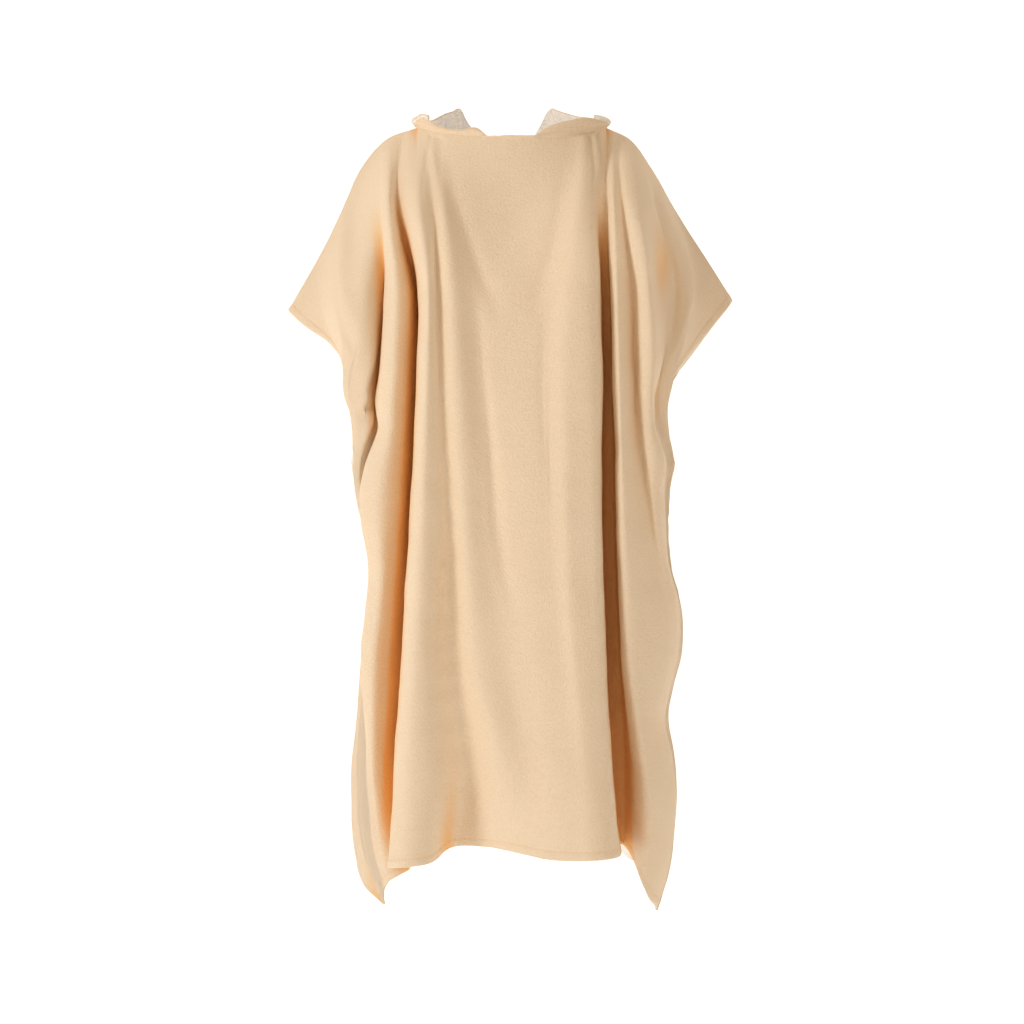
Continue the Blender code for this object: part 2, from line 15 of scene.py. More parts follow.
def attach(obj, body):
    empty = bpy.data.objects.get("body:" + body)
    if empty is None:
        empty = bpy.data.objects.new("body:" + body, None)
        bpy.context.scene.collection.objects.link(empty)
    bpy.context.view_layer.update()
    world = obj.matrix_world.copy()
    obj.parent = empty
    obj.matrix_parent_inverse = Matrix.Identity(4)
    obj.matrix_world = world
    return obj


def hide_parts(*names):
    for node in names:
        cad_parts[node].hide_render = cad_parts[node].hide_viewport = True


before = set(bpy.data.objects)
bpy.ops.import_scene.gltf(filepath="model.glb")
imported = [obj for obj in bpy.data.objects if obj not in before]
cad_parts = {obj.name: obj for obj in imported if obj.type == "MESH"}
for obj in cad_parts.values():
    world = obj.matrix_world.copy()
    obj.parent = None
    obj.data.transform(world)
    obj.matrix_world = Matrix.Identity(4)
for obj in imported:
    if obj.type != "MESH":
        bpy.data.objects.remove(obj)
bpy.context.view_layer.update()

bl_info = {
    "name": "Hooded bath poncho",
    "version": (1, 0, 0),
    "blender": (4, 5, 0),
    "location": "View3D > Sidebar > Poncho",
    "description": "Builds a draped hooded bath poncho piece by piece",
    "category": "Object",
}

FLAT_WIDTH = 0.96
FLAT_LENGTH = 1.12

# Neck opening, seen from above: a half ellipse in front and a half ellipse behind
NECK_SIDE = 0.1415
NECK_FRONT = 0.085
NECK_BACK = 0.095
NECK_DIP = 0.0235
NECK_BACK_DIP = 0.0125
NECK_WIDTH_ON_PANEL = 0.145
CORNER_TURN = 15.0
BAND_BULGE = 0.0022

# The shoulder line on each side: place along the panel's top edge, then where it lies
Shoulder = namedtuple("Shoulder", "along left_x left_z right_x right_z")
SHOULDERS = (
    Shoulder(0.145, -0.1415, 0.000, 0.1415, 0.000),
    Shoulder(0.195, -0.188, -0.018, 0.180, -0.020),
    Shoulder(0.243, -0.222, -0.056, 0.209, -0.060),
    Shoulder(0.323, -0.256, -0.130, 0.249, -0.130),
    Shoulder(0.402, -0.292, -0.200, 0.292, -0.197),
    Shoulder(0.480, -0.334, -0.273, 0.331, -0.259),
)

# Heights at which each fold line is placed, between its top and its hem
HEIGHTS = (-0.12, -0.25, -0.36, -0.47, -0.62, -0.80, -0.97)

# One row a fold line, in millimetres. `top` is its place along the top edge, `x` and `y` its places at
# HEIGHTS (None above the shoulder line), and `hem` its place at the hem as (x, y, z).
Fold = namedtuple("Fold", "name top x y hem")
FRONT_FOLDS = (
    Fold("seam_left", -480, (None, None, -251, -223, -218, -222, -233),
         (None, None, -30, -12, 0, -6, -24), (-191, 4, -1164)),
    Fold("sleeve_edge_left", -420, (None, -292, -247, -227, -213, -220, -228),
         (None, -28, -56, -30, -12, -15, -32), (-190, -4, -1158)),
    Fold("sleeve_left", -350, (None, -261, -236, -221, -209, -217, -223),
         (None, -62, -78, -48, -24, -24, -40), (-188, -12, -1147)),
    Fold("sleeve_inner_left", -270, (-226, -219, -206, -213, -206, -215, -219),
         (-44, -84, -82, -54, -32, -32, -47), (-186, -18, -1140)),
    Fold("trough_1", -205, (-192, -188, -196, -202, -206, -214, -216),
         (-76, -56, -50, -38, -42, -40, -53), (-183, -25, -1134)),
    Fold("ridge_a_left", -196, (-188, -184, -190, -197, -218, -223, -212),
         (-90, -94, -92, -86, -74, -58, -60), (-180, -31, -1129)),
    Fold("ridge_a", -187, (-180, -168, -171, -179, -194, -204, -204),
         (-100, -114, -114, -111, -104, -88, -68), (-176, -36, -1123)),
    Fold("ridge_a_right", -177, (-175, -153, -155, -160, -170, -186, -188),
         (-92, -98, -98, -95, -88, -74, -59), (-168, -36, -1117)),
    Fold("trough_2", -167, (-168, -139, -136, -140, -147, -157, -165),
         (-80, -56, -48, -44, -42, -36, -30), (-152, -24, -1108)),
    Fold("ridge_b_left", -157, (-150, -134, -136, -141, -149, -160, -171),
         (-112, -122, -124, -126, -128, -128, -126), (-176, -124, -1093)),
    Fold("ridge_b", -145, (-136, -121, -122, -126, -132, -142, -150),
         (-124, -150, -160, -165, -167, -165, -161), (-154, -158, -1088)),
    Fold("ridge_b_right", -130, (-126, -114, -112, -109, -108, -109, -106),
         (-121, -144, -152, -156, -157, -156, -150), (-120, -146, -1084)),
    Fold("trough_3", -114, (-116, -108, -105, -99, -92, -83, -68),
         (-115, -132, -141, -145, -145, -136, -108), (-86, -76, -1068)),
    Fold("ridge_c", -97, (-102, -90, -82, -77, -68, -50, -18),
         (-122, -145, -153, -157, -158, -152, -140), (-34, -104, -1065)),
    Fold("trough_4", -74, (-80, -54, -43, -36, -32, -2, 22),
         (-113, -131, -142, -147, -149, -148, -148), (14, -136, -1071)),
    Fold("centre", 0, (0, 4, 12, 19, 27, 41, 54),
         (-103, -128, -143, -151, -155, -158, -160), (54, -156, -1077)),
    Fold("trough_5", 66, (70, 59, 52, 53, 56, 72, 86),
         (-111, -130, -145, -152, -156, -160, -165), (88, -164, -1078)),
    Fold("ridge_d", 98, (102, 90, 87, 87, 88, 98, 114),
         (-122, -146, -155, -159, -161, -163, -166), (120, -168, -1077)),
    Fold("panel_right", 118, (119, 122, 124, 124, 125, 131, 141),
         (-116, -138, -144, -148, -150, -152, -152), (153, -148, -1075)),
    Fold("trough_6_left", 130, (129, 134, 136, 137, 138, 145, 153),
         (-102, -72, -60, -55, -52, -44, -34), (158, -18, -1071)),
    Fold("trough_6", 138, (138, 145, 148, 150, 152, 160, 168),
         (-98, -68, -55, -50, -46, -36, -24), (168, -8, -1073)),
    Fold("ridge_e_left", 145, (142, 146, 149, 152, 156, 164, 183),
         (-106, -114, -117, -117, -113, -104, -86), (183, -60, -1098)),
    Fold("ridge_e", 156, (149, 153, 156, 159, 163, 174, 196),
         (-116, -131, -135, -135, -131, -122, -104), (191, -76, -1126)),
    Fold("trough_7", 166, (161, 178, 182, 189, 205, 220, 219),
         (-106, -98, -96, -96, -94, -86, -80), (203, -66, -1148)),
    Fold("ridge_f_left", 176, (168, 185, 189, 196, 214, 232, 232),
         (-117, -117, -117, -114, -96, -64, -54), (210, -46, -1157)),
    Fold("ridge_f", 188, (184, 201, 207, 212, 224, 241, 238),
         (-116, -122, -121, -110, -70, -40, -32), (214, -30, -1163)),
    Fold("ridge_f_right", 206, (206, 217, 222, 221, 228, 245, 238),
         (-88, -86, -84, -72, -40, -26, -22), (216, -20, -1166)),
    Fold("trough_8", 246, (219, 234, 224, 217, 226, 246, 237),
         (-58, -56, -50, -44, -24, -18, -15), (217, -13, -1168)),
    Fold("sleeve_right", 335, (None, 269, 242, 229, 229, 247, 236),
         (None, -50, -42, -24, -11, -10, -8), (218, -7, -1170)),
    Fold("seam_right", 480, (None, None, 255, 240, 232, 247, 234),
         (None, None, -24, -6, 0, 0, 0), (218, 0, -1172)),
)
BACK_FOLDS = (
    Fold("seam_left", -480, (None, None, -250, -231, -218, -222, -233),
         (None, None, 26, 8, 0, -6, -24), (-191, 4, -1164)),
    Fold("sleeve_left", -390, (None, -278, -244, -228, -217, -227, -241),
         (None, 36, 50, 38, 22, 14, 2), (-216, 22, -1140)),
    Fold("shoulder_left", -290, (-228, -232, -227, -219, -212, -222, -236),
         (36, 70, 76, 66, 56, 52, 48), (-226, 50, -1112)),
    Fold("ridge_left", -225, (-196, -196, -196, -197, -198, -206, -212),
         (70, 92, 102, 104, 102, 100, 96), (-208, 92, -1098)),
    Fold("trough_left", -190, (-166, -164, -163, -162, -162, -166, -170),
         (76, 66, 58, 52, 48, 44, 42), (-168, 40, -1092)),
    Fold("ridge_mid_left", -150, (-138, -130, -126, -124, -124, -128, -134),
         (92, 106, 116, 124, 130, 134, 136), (-134, 136, -1086)),
    Fold("trough_mid_left", -104, (-98, -92, -88, -86, -84, -82, -82),
         (98, 100, 96, 90, 84, 78, 74), (-82, 72, -1082)),
    Fold("ridge_centre_left", -54, (-52, -50, -48, -46, -42, -38, -36),
         (110, 122, 132, 140, 146, 150, 152), (-34, 152, -1084)),
    Fold("trough_centre", 0, (0, 0, 2, 4, 6, 8, 10),
         (110, 114, 114, 112, 108, 104, 100), (12, 98, -1082)),
    Fold("ridge_centre_right", 54, (52, 52, 52, 54, 56, 58, 62),
         (110, 122, 132, 140, 147, 152, 155), (64, 156, -1085)),
    Fold("trough_mid_right", 104, (98, 94, 92, 92, 94, 98, 104),
         (98, 98, 92, 84, 76, 70, 66), (106, 64, -1083)),
    Fold("ridge_mid_right", 150, (138, 132, 130, 130, 134, 142, 150),
         (92, 108, 118, 126, 132, 134, 134), (152, 132, -1090)),
    Fold("trough_right", 190, (164, 164, 164, 166, 170, 180, 188),
         (78, 68, 60, 54, 50, 48, 46), (184, 46, -1104)),
    Fold("ridge_right", 225, (194, 198, 200, 200, 206, 220, 222),
         (72, 94, 102, 104, 102, 98, 92), (210, 84, -1122)),
    Fold("shoulder_right", 290, (221, 236, 229, 222, 224, 246, 240),
         (36, 70, 74, 66, 56, 50, 46), (220, 44, -1142)),
    Fold("sleeve_right", 390, (None, 280, 251, 231, 231, 252, 243),
         (None, 38, 48, 36, 22, 18, 16), (222, 16, -1162)),
    Fold("seam_right", 480, (None, None, 260, 240, 232, 247, 234),
         (None, None, 24, 6, 0, 0, 0), (218, 0, -1172)),
)
ARMHOLE_END = {"left": -0.505, "right": -0.492}

# How the side edges sway in and out on their way down, in millimetres along X. Cloth nearby sways along.
Sway = namedtuple("Sway", "height left right")
EDGE_SWAYS = (
    Sway(-0.250, 0, 0),
    Sway(-0.300, 2, 0),
    Sway(-0.325, 12, 0),
    Sway(-0.345, 8, -1),
    Sway(-0.375, -6, -10),
    Sway(-0.400, -11, -18),
    Sway(-0.430, -3, -16),
    Sway(-0.450, 6, -14),
    Sway(-0.475, -4, -2),
    Sway(-0.500, -13, 6),
    Sway(-0.540, -15, 3),
    Sway(-0.590, -5, 2),
    Sway(-0.650, 9, 4),
    Sway(-0.720, 8, 11),
    Sway(-0.780, 2, 5),
    Sway(-0.840, 2, -10),
    Sway(-0.885, 4, -15),
    Sway(-0.940, 4, -2),
    Sway(-1.000, 0, 9),
    Sway(-1.060, -9, 11),
    Sway(-1.120, -9, 9),
    Sway(-1.165, 0, 0),
)
SWAY_REACH = 0.032

# The neck band, by the turn round the neck from the front (0) to the back (180 degrees)
Band = namedtuple("Band", "turn left right lean")
BAND_SECTIONS = (
    Band(15, 0.0015, 0.0015, 0.0000),
    Band(21, 0.0120, 0.0120, 0.0000),
    Band(30, 0.0095, 0.0195, 0.0005),
    Band(40, 0.0080, 0.0225, 0.0010),
    Band(50, 0.0105, 0.0225, 0.0015),
    Band(62, 0.0165, 0.0160, 0.0020),
    Band(71, 0.0150, 0.0110, 0.0025),
    Band(80, 0.0085, 0.0075, 0.0030),
    Band(95, 0.0060, 0.0060, 0.0030),
    Band(110, 0.0070, 0.0070, 0.0020),
    Band(145, 0.0110, 0.0110, 0.0030),
    Band(180, 0.0100, 0.0100, 0.0060),
)

# The hood's face edge above the origin, how far the edge is thrown back, and the pouch's depth
Hood = namedtuple("Hood", "turn left_rise right_rise throw depth")
HOOD_SECTIONS = (
    Hood(60, 0.0125, 0.0125, 0.000, 0.000),
    Hood(71, 0.0155, 0.0125, 0.001, 0.000),
    Hood(80, 0.0125, 0.0115, 0.003, 0.000),
    Hood(95, 0.0130, 0.0130, 0.009, 0.001),
    Hood(107, 0.0140, 0.0170, 0.017, 0.004),
    Hood(116, 0.0160, 0.0215, 0.024, 0.015),
    Hood(126, 0.0240, 0.0270, 0.034, 0.035),
    Hood(143, 0.0420, 0.0370, 0.052, 0.125),
    Hood(150, 0.0455, 0.0440, 0.058, 0.165),
    Hood(153, 0.0320, 0.0470, 0.061, 0.185),
    Hood(157, 0.0180, 0.0500, 0.065, 0.205),
    Hood(160, 0.0100, 0.0420, 0.069, 0.220),
    Hood(164, 0.0030, 0.0220, 0.073, 0.238),
    Hood(170, -0.0060, -0.0020, 0.078, 0.250),
    Hood(180, -0.0090, -0.0090, 0.084, 0.262),
)
# The pouch's section, from the band's top edge to the face edge, as shares of the throw and of the depth
Pouch = namedtuple("Pouch", "place out down")
POUCH = (
    Pouch(0.00, 0.00, 0.00),
    Pouch(0.10, 0.36, 0.03),
    Pouch(0.28, 0.52, 0.46),
    Pouch(0.42, 0.60, 0.86),
    Pouch(0.50, 0.72, 1.00),
    Pouch(0.58, 0.90, 0.92),
    Pouch(0.76, 1.08, 0.50),
    Pouch(0.92, 1.06, 0.12),
    Pouch(1.00, 1.00, 0.00),
)

# Soft creases. Each runs through points (place along the top edge, height) in millimetres, with its
# half width and its depth, positive for a ridge and negative for a trough.
Crease = namedtuple("Crease", "name points width depth")
FRONT_CREASES = (
    Crease("gather_1", ((-21, -24), (-20, -44)), 2.4, -1.3),
    Crease("gather_2", ((-12, -24), (-12, -52)), 2.6, -1.5),
    Crease("gather_3", ((-4, -24), (-3, -48)), 2.2, -1.2),
    Crease("gather_4", ((5, -24), (6, -55)), 2.6, -1.5),
    Crease("gather_5", ((14, -24), (15, -42)), 2.4, -1.2),
    Crease("shoulder_pleat_inner", ((88, -22), (108, -62), (120, -120)), 3.2, -3.6),
    Crease("shoulder_pleat_outer", ((104, -14), (130, -62), (148, -124)), 3.2, -3.6),
    Crease("shoulder_roll_right", ((78, -24), (90, -70), (98, -130)), 8.0, 3.5),
    Crease("shoulder_roll_between", ((97, -18), (119, -62), (134, -118)), 4.5, 2.6),
    Crease("shoulder_pleat_left", ((-96, -20), (-118, -62), (-140, -116)), 4.0, -2.6),
    Crease("shoulder_drag_left", ((-80, -28), (-92, -80), (-104, -150)), 8.0, -3.0),
    Crease("elbow_left", ((-236, -418), (-300, -430), (-372, -446)), 6.0, -4.0),
    Crease("elbow_left_roll", ((-246, -400), (-300, -414), (-360, -430)), 7.0, 2.0),
    Crease("sleeve_left_drag", ((-330, -190), (-352, -280), (-330, -380)), 16.0, -3.0),
    Crease("sleeve_left_roll", ((-300, -120), (-318, -220), (-300, -330)), 18.0, 3.0),
    Crease("sleeve_right_trough", ((226, -92), (262, -180), (282, -320)), 13.0, -7.0),
    Crease("sleeve_right_roll", ((300, -150), (330, -240), (318, -340)), 15.0, 2.5),
    Crease("knob_fan_1", ((468, -492), (400, -498), (300, -504)), 5.0, -3.0),
    Crease("knob_fan_2", ((462, -504), (400, -522), (320, -545)), 6.0, -2.4),
    Crease("knob_fan_3", ((466, -482), (420, -470), (350, -462)), 6.0, -2.4),
    Crease("slit_fan_1", ((-470, -512), (-420, -530), (-350, -560)), 7.0, -3.0),
    Crease("slit_fan_2", ((-468, -500), (-430, -500), (-380, -508)), 6.0, -2.4),
    Crease("hem_wrinkle_1", ((-62, -1000), (-24, -980), (30, -966)), 8.0, -2.0),
    Crease("hem_wrinkle_2", ((-30, -1046), (16, -1030), (61, -1021)), 7.0, -1.8),
    Crease("hem_wrinkle_3", ((-40, -1022), (0, -1000), (48, -988)), 9.0, 1.8),
    Crease("drape_left", ((-74, -62), (-74, -150), (-60, -220), (-34, -280)), 15.0, -4.6),
    Crease("drape_right", ((66, -62), (68, -150), (54, -220), (34, -276)), 15.0, -4.2),
    Crease("drape_ridge_left", ((-92, -90), (-94, -220), (-92, -360), (-90, -520)), 11.0, 3.0),
    Crease("drape_below_left", ((-76, -290), (-72, -420), (-60, -560), (-48, -700)), 14.0, -7.0),
    Crease("drape_below_right", ((58, -300), (54, -420), (60, -560)), 14.0, -3.5),
    Crease("trough_3_floor", ((-104, -500), (-118, -700), (-122, -860), (-119, -1062)), 14.0, -10.0),
    Crease("ridge_b_edge", ((-136, -560), (-136, -760), (-135, -1000), (-136, -1082)), 6.0, 2.0),
    Crease("panel_edge_trough", ((108, -440), (110, -640), (112, -860), (110, -1040)), 9.0, -4.5),
    Crease("ridge_d_roll", ((84, -200), (88, -420), (90, -700), (92, -980)), 10.0, 2.2),
    Crease("ridge_f_roll", ((190, -420), (184, -600), (178, -780), (182, -960)), 9.0, 3.0),
    Crease("side_left_fold", ((-420, -640), (-396, -760), (-400, -900)), 12.0, -4.0),
    Crease("side_right_fold", ((260, -600), (280, -740), (262, -900)), 13.0, -4.0),
)
BACK_CREASES = (
    Crease("shoulder_pleat_left", ((-100, -12), (-124, -70), (-142, -150)), 5.0, -2.8),
    Crease("shoulder_pleat_right", ((98, -12), (120, -66), (140, -140)), 5.0, -3.0),
    Crease("sleeve_left_drag", ((-330, -180), (-356, -280), (-340, -380)), 16.0, -3.2),
    Crease("sleeve_right_drag", ((320, -160), (340, -260), (330, -360)), 16.0, -3.0),
    Crease("elbow_left", ((-300, -420), (-350, -436), (-400, -470)), 8.0, -3.6),
    Crease("knob_fan_1", ((468, -492), (400, -500), (310, -520)), 6.0, -3.0),
    Crease("slit_fan_1", ((-470, -512), (-420, -526), (-350, -552)), 7.0, -3.0),
    Crease("centre_drag_1", ((-70, -260), (-50, -420), (-30, -560)), 15.0, -2.2),
    Crease("centre_drag_2", ((66, -300), (50, -460), (34, -620)), 15.0, -2.2),
    Crease("hem_wrinkle_1", ((-40, -1040), (0, -1016), (50, -1004)), 9.0, -1.6),
    Crease("hem_wrinkle_2", ((120, -1050), (160, -1020), (190, -1010)), 9.0, -1.6),
    Crease("side_left_fold", ((-400, -640), (-380, -760), (-390, -900)), 12.0, -3.0),
    Crease("side_right_fold", ((380, -580), (366, -700), (370, -860)), 13.0, -3.0),
)
CREASE_SAMPLES = 14
# Creases that start in a seam are deepest there and die away from it
SEWN_IN = ("gather", "shoulder", "knob", "slit")

# How finely each piece is sampled. Gaps between folds wider than WIDE_GAP at the neck take the finer spacing.
COLUMN_SPACING = 0.0063
NECK_COLUMN_SPACING = 0.0030
NECK_REACH = 0.1
NECK_MIDDLE = 0.09
WIDE_GAP = 0.05
ROW_SPACING = 0.0074
EDGE_STEPS = (0.0, 0.0014, 0.0028, 0.0044, 0.0062, 0.0082, 0.0104, 0.0118, 0.0132, 0.0160, 0.0200)
EDGE_CLEARANCE = 0.002
RIM_TURNS = (45.0, 90.0, 135.0)
RIM_REACH = 0.8
BAND_ROWS = 9
BAND_TURN_STEP = 1.25
HOOD_TURN_STEP = 1.0
HOOD_PLACES = 96
SHARED = 1e-6

# Where folds turn the cloth over on itself: how far the normals agree there, and how it is opened out
EASING_PASSES = 14
CALMING_PASSES = 8
TURNED_OVER = (0.62, 0.25)
EASING_SPREAD = (0, 1, 0, 1, 1)
SPREAD_KEPT = 0.85

# Smooth steps on the cloth, as the values where they start and where they are complete
SIDE_HELD = (0.0, 0.012)
TOP_HELD = (0.0, 0.008)
NOT_CROWDED = (0.25, 0.75)
SIDE_FREE = (0.0, 0.05)
TOP_FREE = (0.0, 0.06)
FOLD_DEPTHS = (0.016, 0.052)
FOLD_INWARD = (0.016, 0.040)
HOOD_SEAM_HELD = (0.0, 0.02)
HOOD_FOOT_HELD = (0.0, 0.01)
HOOD_EDGE_FREE = (0.02, 0.0)
HOOD_TURNED = (0.0128, 0.0108)
HEM_PUCKER_REACH = (2.4, 0.4)
SIDE_PUCKER_REACH = (2.2, 0.2)
HEM_EDGE_EASE = (-0.001, 0.004)
FAR = 0.2

# The places sideways where fold depth is judged, and how many of them count as neighbours
DEPTH_PLACES = np.linspace(-0.36, 0.36, 241)
NEIGHBOURS = 4

# Smooth noise on the cloth: the size of its bumps, its seed and its height
Rumple = namedtuple("Rumple", "size seed height")
PANEL_RUMPLES = (Rumple(0.085, 3.1, 0.0022), Rumple(0.034, 8.7, 0.0007))
HEM_WAVE = Rumple(0.011, 5.3, 1.0)
HEM_DRIFT = Rumple(0.06, 1.9, 0.45)
HEM_EVEN = 0.55
SIDE_WAVE = Rumple(0.0135, 7.7, 1.15)
BAND_TUCKS = Rumple(0.0085, 6.2, 0.0011)
HOOD_RUMPLES = (Rumple(0.045, 2.0, 0.0040), Rumple(0.016, 4.0, 0.0012), Rumple(0.0042, 9.0, 0.0007))
HOOD_EDGE_RUMPLE = Rumple(0.012, 11.0, 0.0012)

# Sunk and raised lines along sewn edges: half width, and depth or height
Line = namedtuple("Line", "width depth")
HEM_GROOVE = Line(0.0015, 0.0009)
SEAM_GROOVE = Line(0.0016, 0.0006)
SEAM_ROLL = Line(0.0022, 0.0007)
SEAM_ROLL_PLACE = 0.0030
BAND_GROOVE = Line(0.0012, 0.0006)
HOOD_GROOVE = Line(0.0015, 0.0007)

# Turned edges and their stitches
STITCH_INSET = 0.0012
TURN_EASE = 0.0008
INNER_RISE = 1.6
NECK_TURN_REACH = 0.026
NECK_STITCH_REACH = 0.025
NECK_STITCH_INSET = 0.001
NECK_SLACK_REACH = 0.03
NECK_SLACK = 0.004
TOP_THINNING = 0.45
TOP_THIN_REACH = 0.004
THREAD_SUNK = 0.25
BAND_OVERLAP = 0.0004
BAND_STITCH_PLACE = 0.0035
BAND_TUCK_REACH = 0.45
BULGE_CHANGE = 0.25
BULGE_WAVES = (1.9, 0.53)
HOOD_RISE = 0.0004
HOOD_INNER_RISE = 0.0012
HOOD_FRONT_TURN = 98
PILE_REACH = 0.040
YARN_SHARE = 0.28

# Texture noise of the finishes
Grain = namedtuple("Grain", "scale detail roughness")
DRIFT = Grain(60.0, 2.0, 0.5)
NAP = Grain(900.0, 2.0, 0.6)
TUFT = Grain(260.0, 2.0, 0.6)
SPECK = Grain(420.0, 2.0, 0.7)
CLOUD = Grain(9.0, 2.0, 0.5)
CURL = Grain(900.0, 3.0, 0.7)
TERRY_CLOUD = Grain(45.0, 3.0, 0.6)
TWIST = Grain(1400.0, 2.0, 0.5)
TERRY_CELLS = 480.0
RIB_DRIFT = 0.0016
WARP_DRIFT = 0.0010

# How much each part of the cloth shows in its height and in its shade
WEAVE_HEIGHT = {"rib": 0.05, "warp": 0.03, "nap": 0.7, "tuft": 1.2}
WEAVE_SHADE = {"rib": 0.07, "warp": 0.03, "nap": 0.6, "tuft": 1.5, "speck": 0.8, "cloud": 0.4}
# How much shade is painted along the sunk hem line
SEAM_SHADE = 0.28

# The stage: a floor that rises into a wall behind
FLOOR_HEIGHT = -1.50
WALL_PLACE = 6.8
WALL_TOP = 12.0
CORNER_RADIUS = 2.4
CORNER_STEPS = 12
STAGE_HALF_WIDTH = 14.0
STAGE_NEAR = -9.0
PAPER = (0.92, 0.92, 0.92, 1.0)
PAPER_GLOW_NEAR = (0.22, 0.22, 0.22, 1.0)
PAPER_GLOW_FAR = (0.66, 0.66, 0.66, 1.0)
PAPER_GLOW_RISE = 0.7
Lamp = namedtuple("Lamp", "name place aim size power colour")
LAMPS = (
    Lamp("key", (-3.1, -2.1, 0.7), (0.0, 0.0, -0.5), 1.2, 58.0, (1.0, 0.985, 0.96)),
    Lamp("fill", (2.4, -3.0, 0.2), (0.0, 0.0, -0.6), 2.2, 15.0, (1.0, 0.99, 0.98)),
    Lamp("top", (0.0, 0.3, 2.6), (0.0, 0.0, -0.3), 2.0, 16.0, (1.0, 1.0, 1.0)),
    Lamp("rear", (0.6, 2.4, 0.9), (0.0, 0.0, -0.5), 1.8, 9.0, (1.0, 1.0, 1.0)),
)
WORLD_COLOUR = (1.0, 0.73, 0.44, 1.0)
WORLD_STRENGTH = 0.38
CAMERA_PLACE = (0.00075, -4.2, -0.576)
LENS = 98.44
SENSOR = 36.0


def unit(vectors):
    return vectors / np.maximum(np.linalg.norm(vectors, axis=-1, keepdims=True), 1e-9)


def smooth_curve(knots, values, at):
    """A cubic through the values at the knots. Its slope at each knot comes from both neighbours."""
    knots = np.asarray(knots, float)
    values = np.asarray(values, float)
    at = np.clip(np.asarray(at, float), knots[0], knots[-1])
    gaps = np.diff(knots)
    rises = np.diff(values, axis=0) / gaps.reshape(-1, *[1] * (values.ndim - 1))
    slopes = np.empty_like(values)
    slopes[0] = rises[0]
    slopes[-1] = rises[-1]
    for k in range(1, len(knots) - 1):
        slopes[k] = (gaps[k] * rises[k - 1] + gaps[k - 1] * rises[k]) / (gaps[k] + gaps[k - 1])
    span = np.clip(np.searchsorted(knots, at, side="right") - 1, 0, len(gaps) - 1)
    shape = (-1,) + (1,) * (values.ndim - 1)
    gap = gaps[span].reshape(shape)
    s = ((at - knots[span]) / gaps[span]).reshape(shape)
    start = (1 + 2 * s) * (1 - s) ** 2 * values[span]
    end = s * s * (3 - 2 * s) * values[span + 1]
    tangents = s * (1 - s) ** 2 * slopes[span] - s * s * (1 - s) * slopes[span + 1]
    return start + end + gap * tangents


def neck_point(turn, side):
    """A point on the neck seam, by the turn in degrees from the front centre, and the side, -1 or 1."""
    angle = math.radians(turn)
    forward = math.cos(angle)
    reach = NECK_FRONT if forward > 0 else NECK_BACK
    dip = NECK_DIP * (1 - math.sin(angle) ** 4) if forward > 0 else NECK_BACK_DIP * forward ** 6
    return np.array((side * NECK_SIDE * math.sin(angle), -reach * forward, -dip))


def top_point(along, facing):
    """A point on a panel's top edge: on the shoulder line, or on the front or back of the neck seam."""
    side = -1 if along < 0 else 1
    reach = abs(along)
    if reach < NECK_WIDTH_ON_PANEL:
        turn = 90 * reach / NECK_WIDTH_ON_PANEL
        return neck_point(turn if facing < 0 else 180 - turn, side)
    columns = ("left_x", "left_z") if side < 0 else ("right_x", "right_z")
    knots = [row.along for row in SHOULDERS]
    x, z = (smooth_curve(knots, [getattr(row, name) for row in SHOULDERS], [reach])[0] for name in columns)
    return np.array((x, 0.0, z))


def fold_line(fold, facing, shares):
    """The points of one fold line, at shares of the way from the top edge to the hem."""
    top = top_point(fold.top / 1000, facing)
    knots = [tuple(top)]
    for height, x, y in zip(HEIGHTS, fold.x, fold.y):
        if x is not None and height < top[2] - 0.04:
            knots.append((x / 1000, y / 1000, height))
    knots.append(tuple(value / 1000 for value in fold.hem))
    knots = np.array(knots)
    fall = top[2] + (knots[-1][2] - top[2]) * shares
    across = smooth_curve(-knots[:, 2], knots[:, :2], -fall)
    return np.column_stack((across, fall))


def fold_lines(folds, facing, shares):
    lines = np.array([fold_line(fold, facing, shares) for fold in folds])
    depths = [-row.height for row in EDGE_SWAYS]
    moved = lines.copy()
    for edge, side in ((lines[0], "left"), (lines[-1], "right")):
        sways = [getattr(row, side) / 1000 for row in EDGE_SWAYS]
        for line, result in zip(lines, moved):
            apart = line[:, 0] - np.interp(-line[:, 2], -edge[:, 2], edge[:, 0])
            near = np.exp(-((apart / SWAY_REACH) ** 2))
            result[:, 0] += near * smooth_curve(depths, sways, -line[:, 2])
    return moved


def panel_surface(lines, tops, columns, facing):
    """The panel's middle surface as rows of points. Columns are given as places between numbered folds."""
    surface = np.empty((lines.shape[1], len(columns), 3))
    numbers = np.arange(len(lines))
    for row, across in enumerate(lines.transpose(1, 0, 2)):
        steps = np.sqrt(np.linalg.norm(np.diff(across, axis=0), axis=1))
        knots = np.concatenate(([0.0], np.cumsum(steps)))
        surface[row] = smooth_curve(knots, across, np.interp(columns, numbers, knots))
    for column, along in enumerate(tops):
        surface[0, column] = top_point(along, facing)
    return surface


def tops_of(folds):
    return np.array([fold.top / 1000 for fold in folds])


def panel_shares():
    """Shares of the way down: close together at both ends, where the edges are turned."""
    near = np.array(EDGE_STEPS) / FLAT_LENGTH
    middle = int((FLAT_LENGTH - 2 * EDGE_STEPS[-1]) / ROW_SPACING)
    return np.concatenate((near[:-1], np.linspace(near[-1], 1 - near[-1], middle), (1 - near[::-1])[1:]))


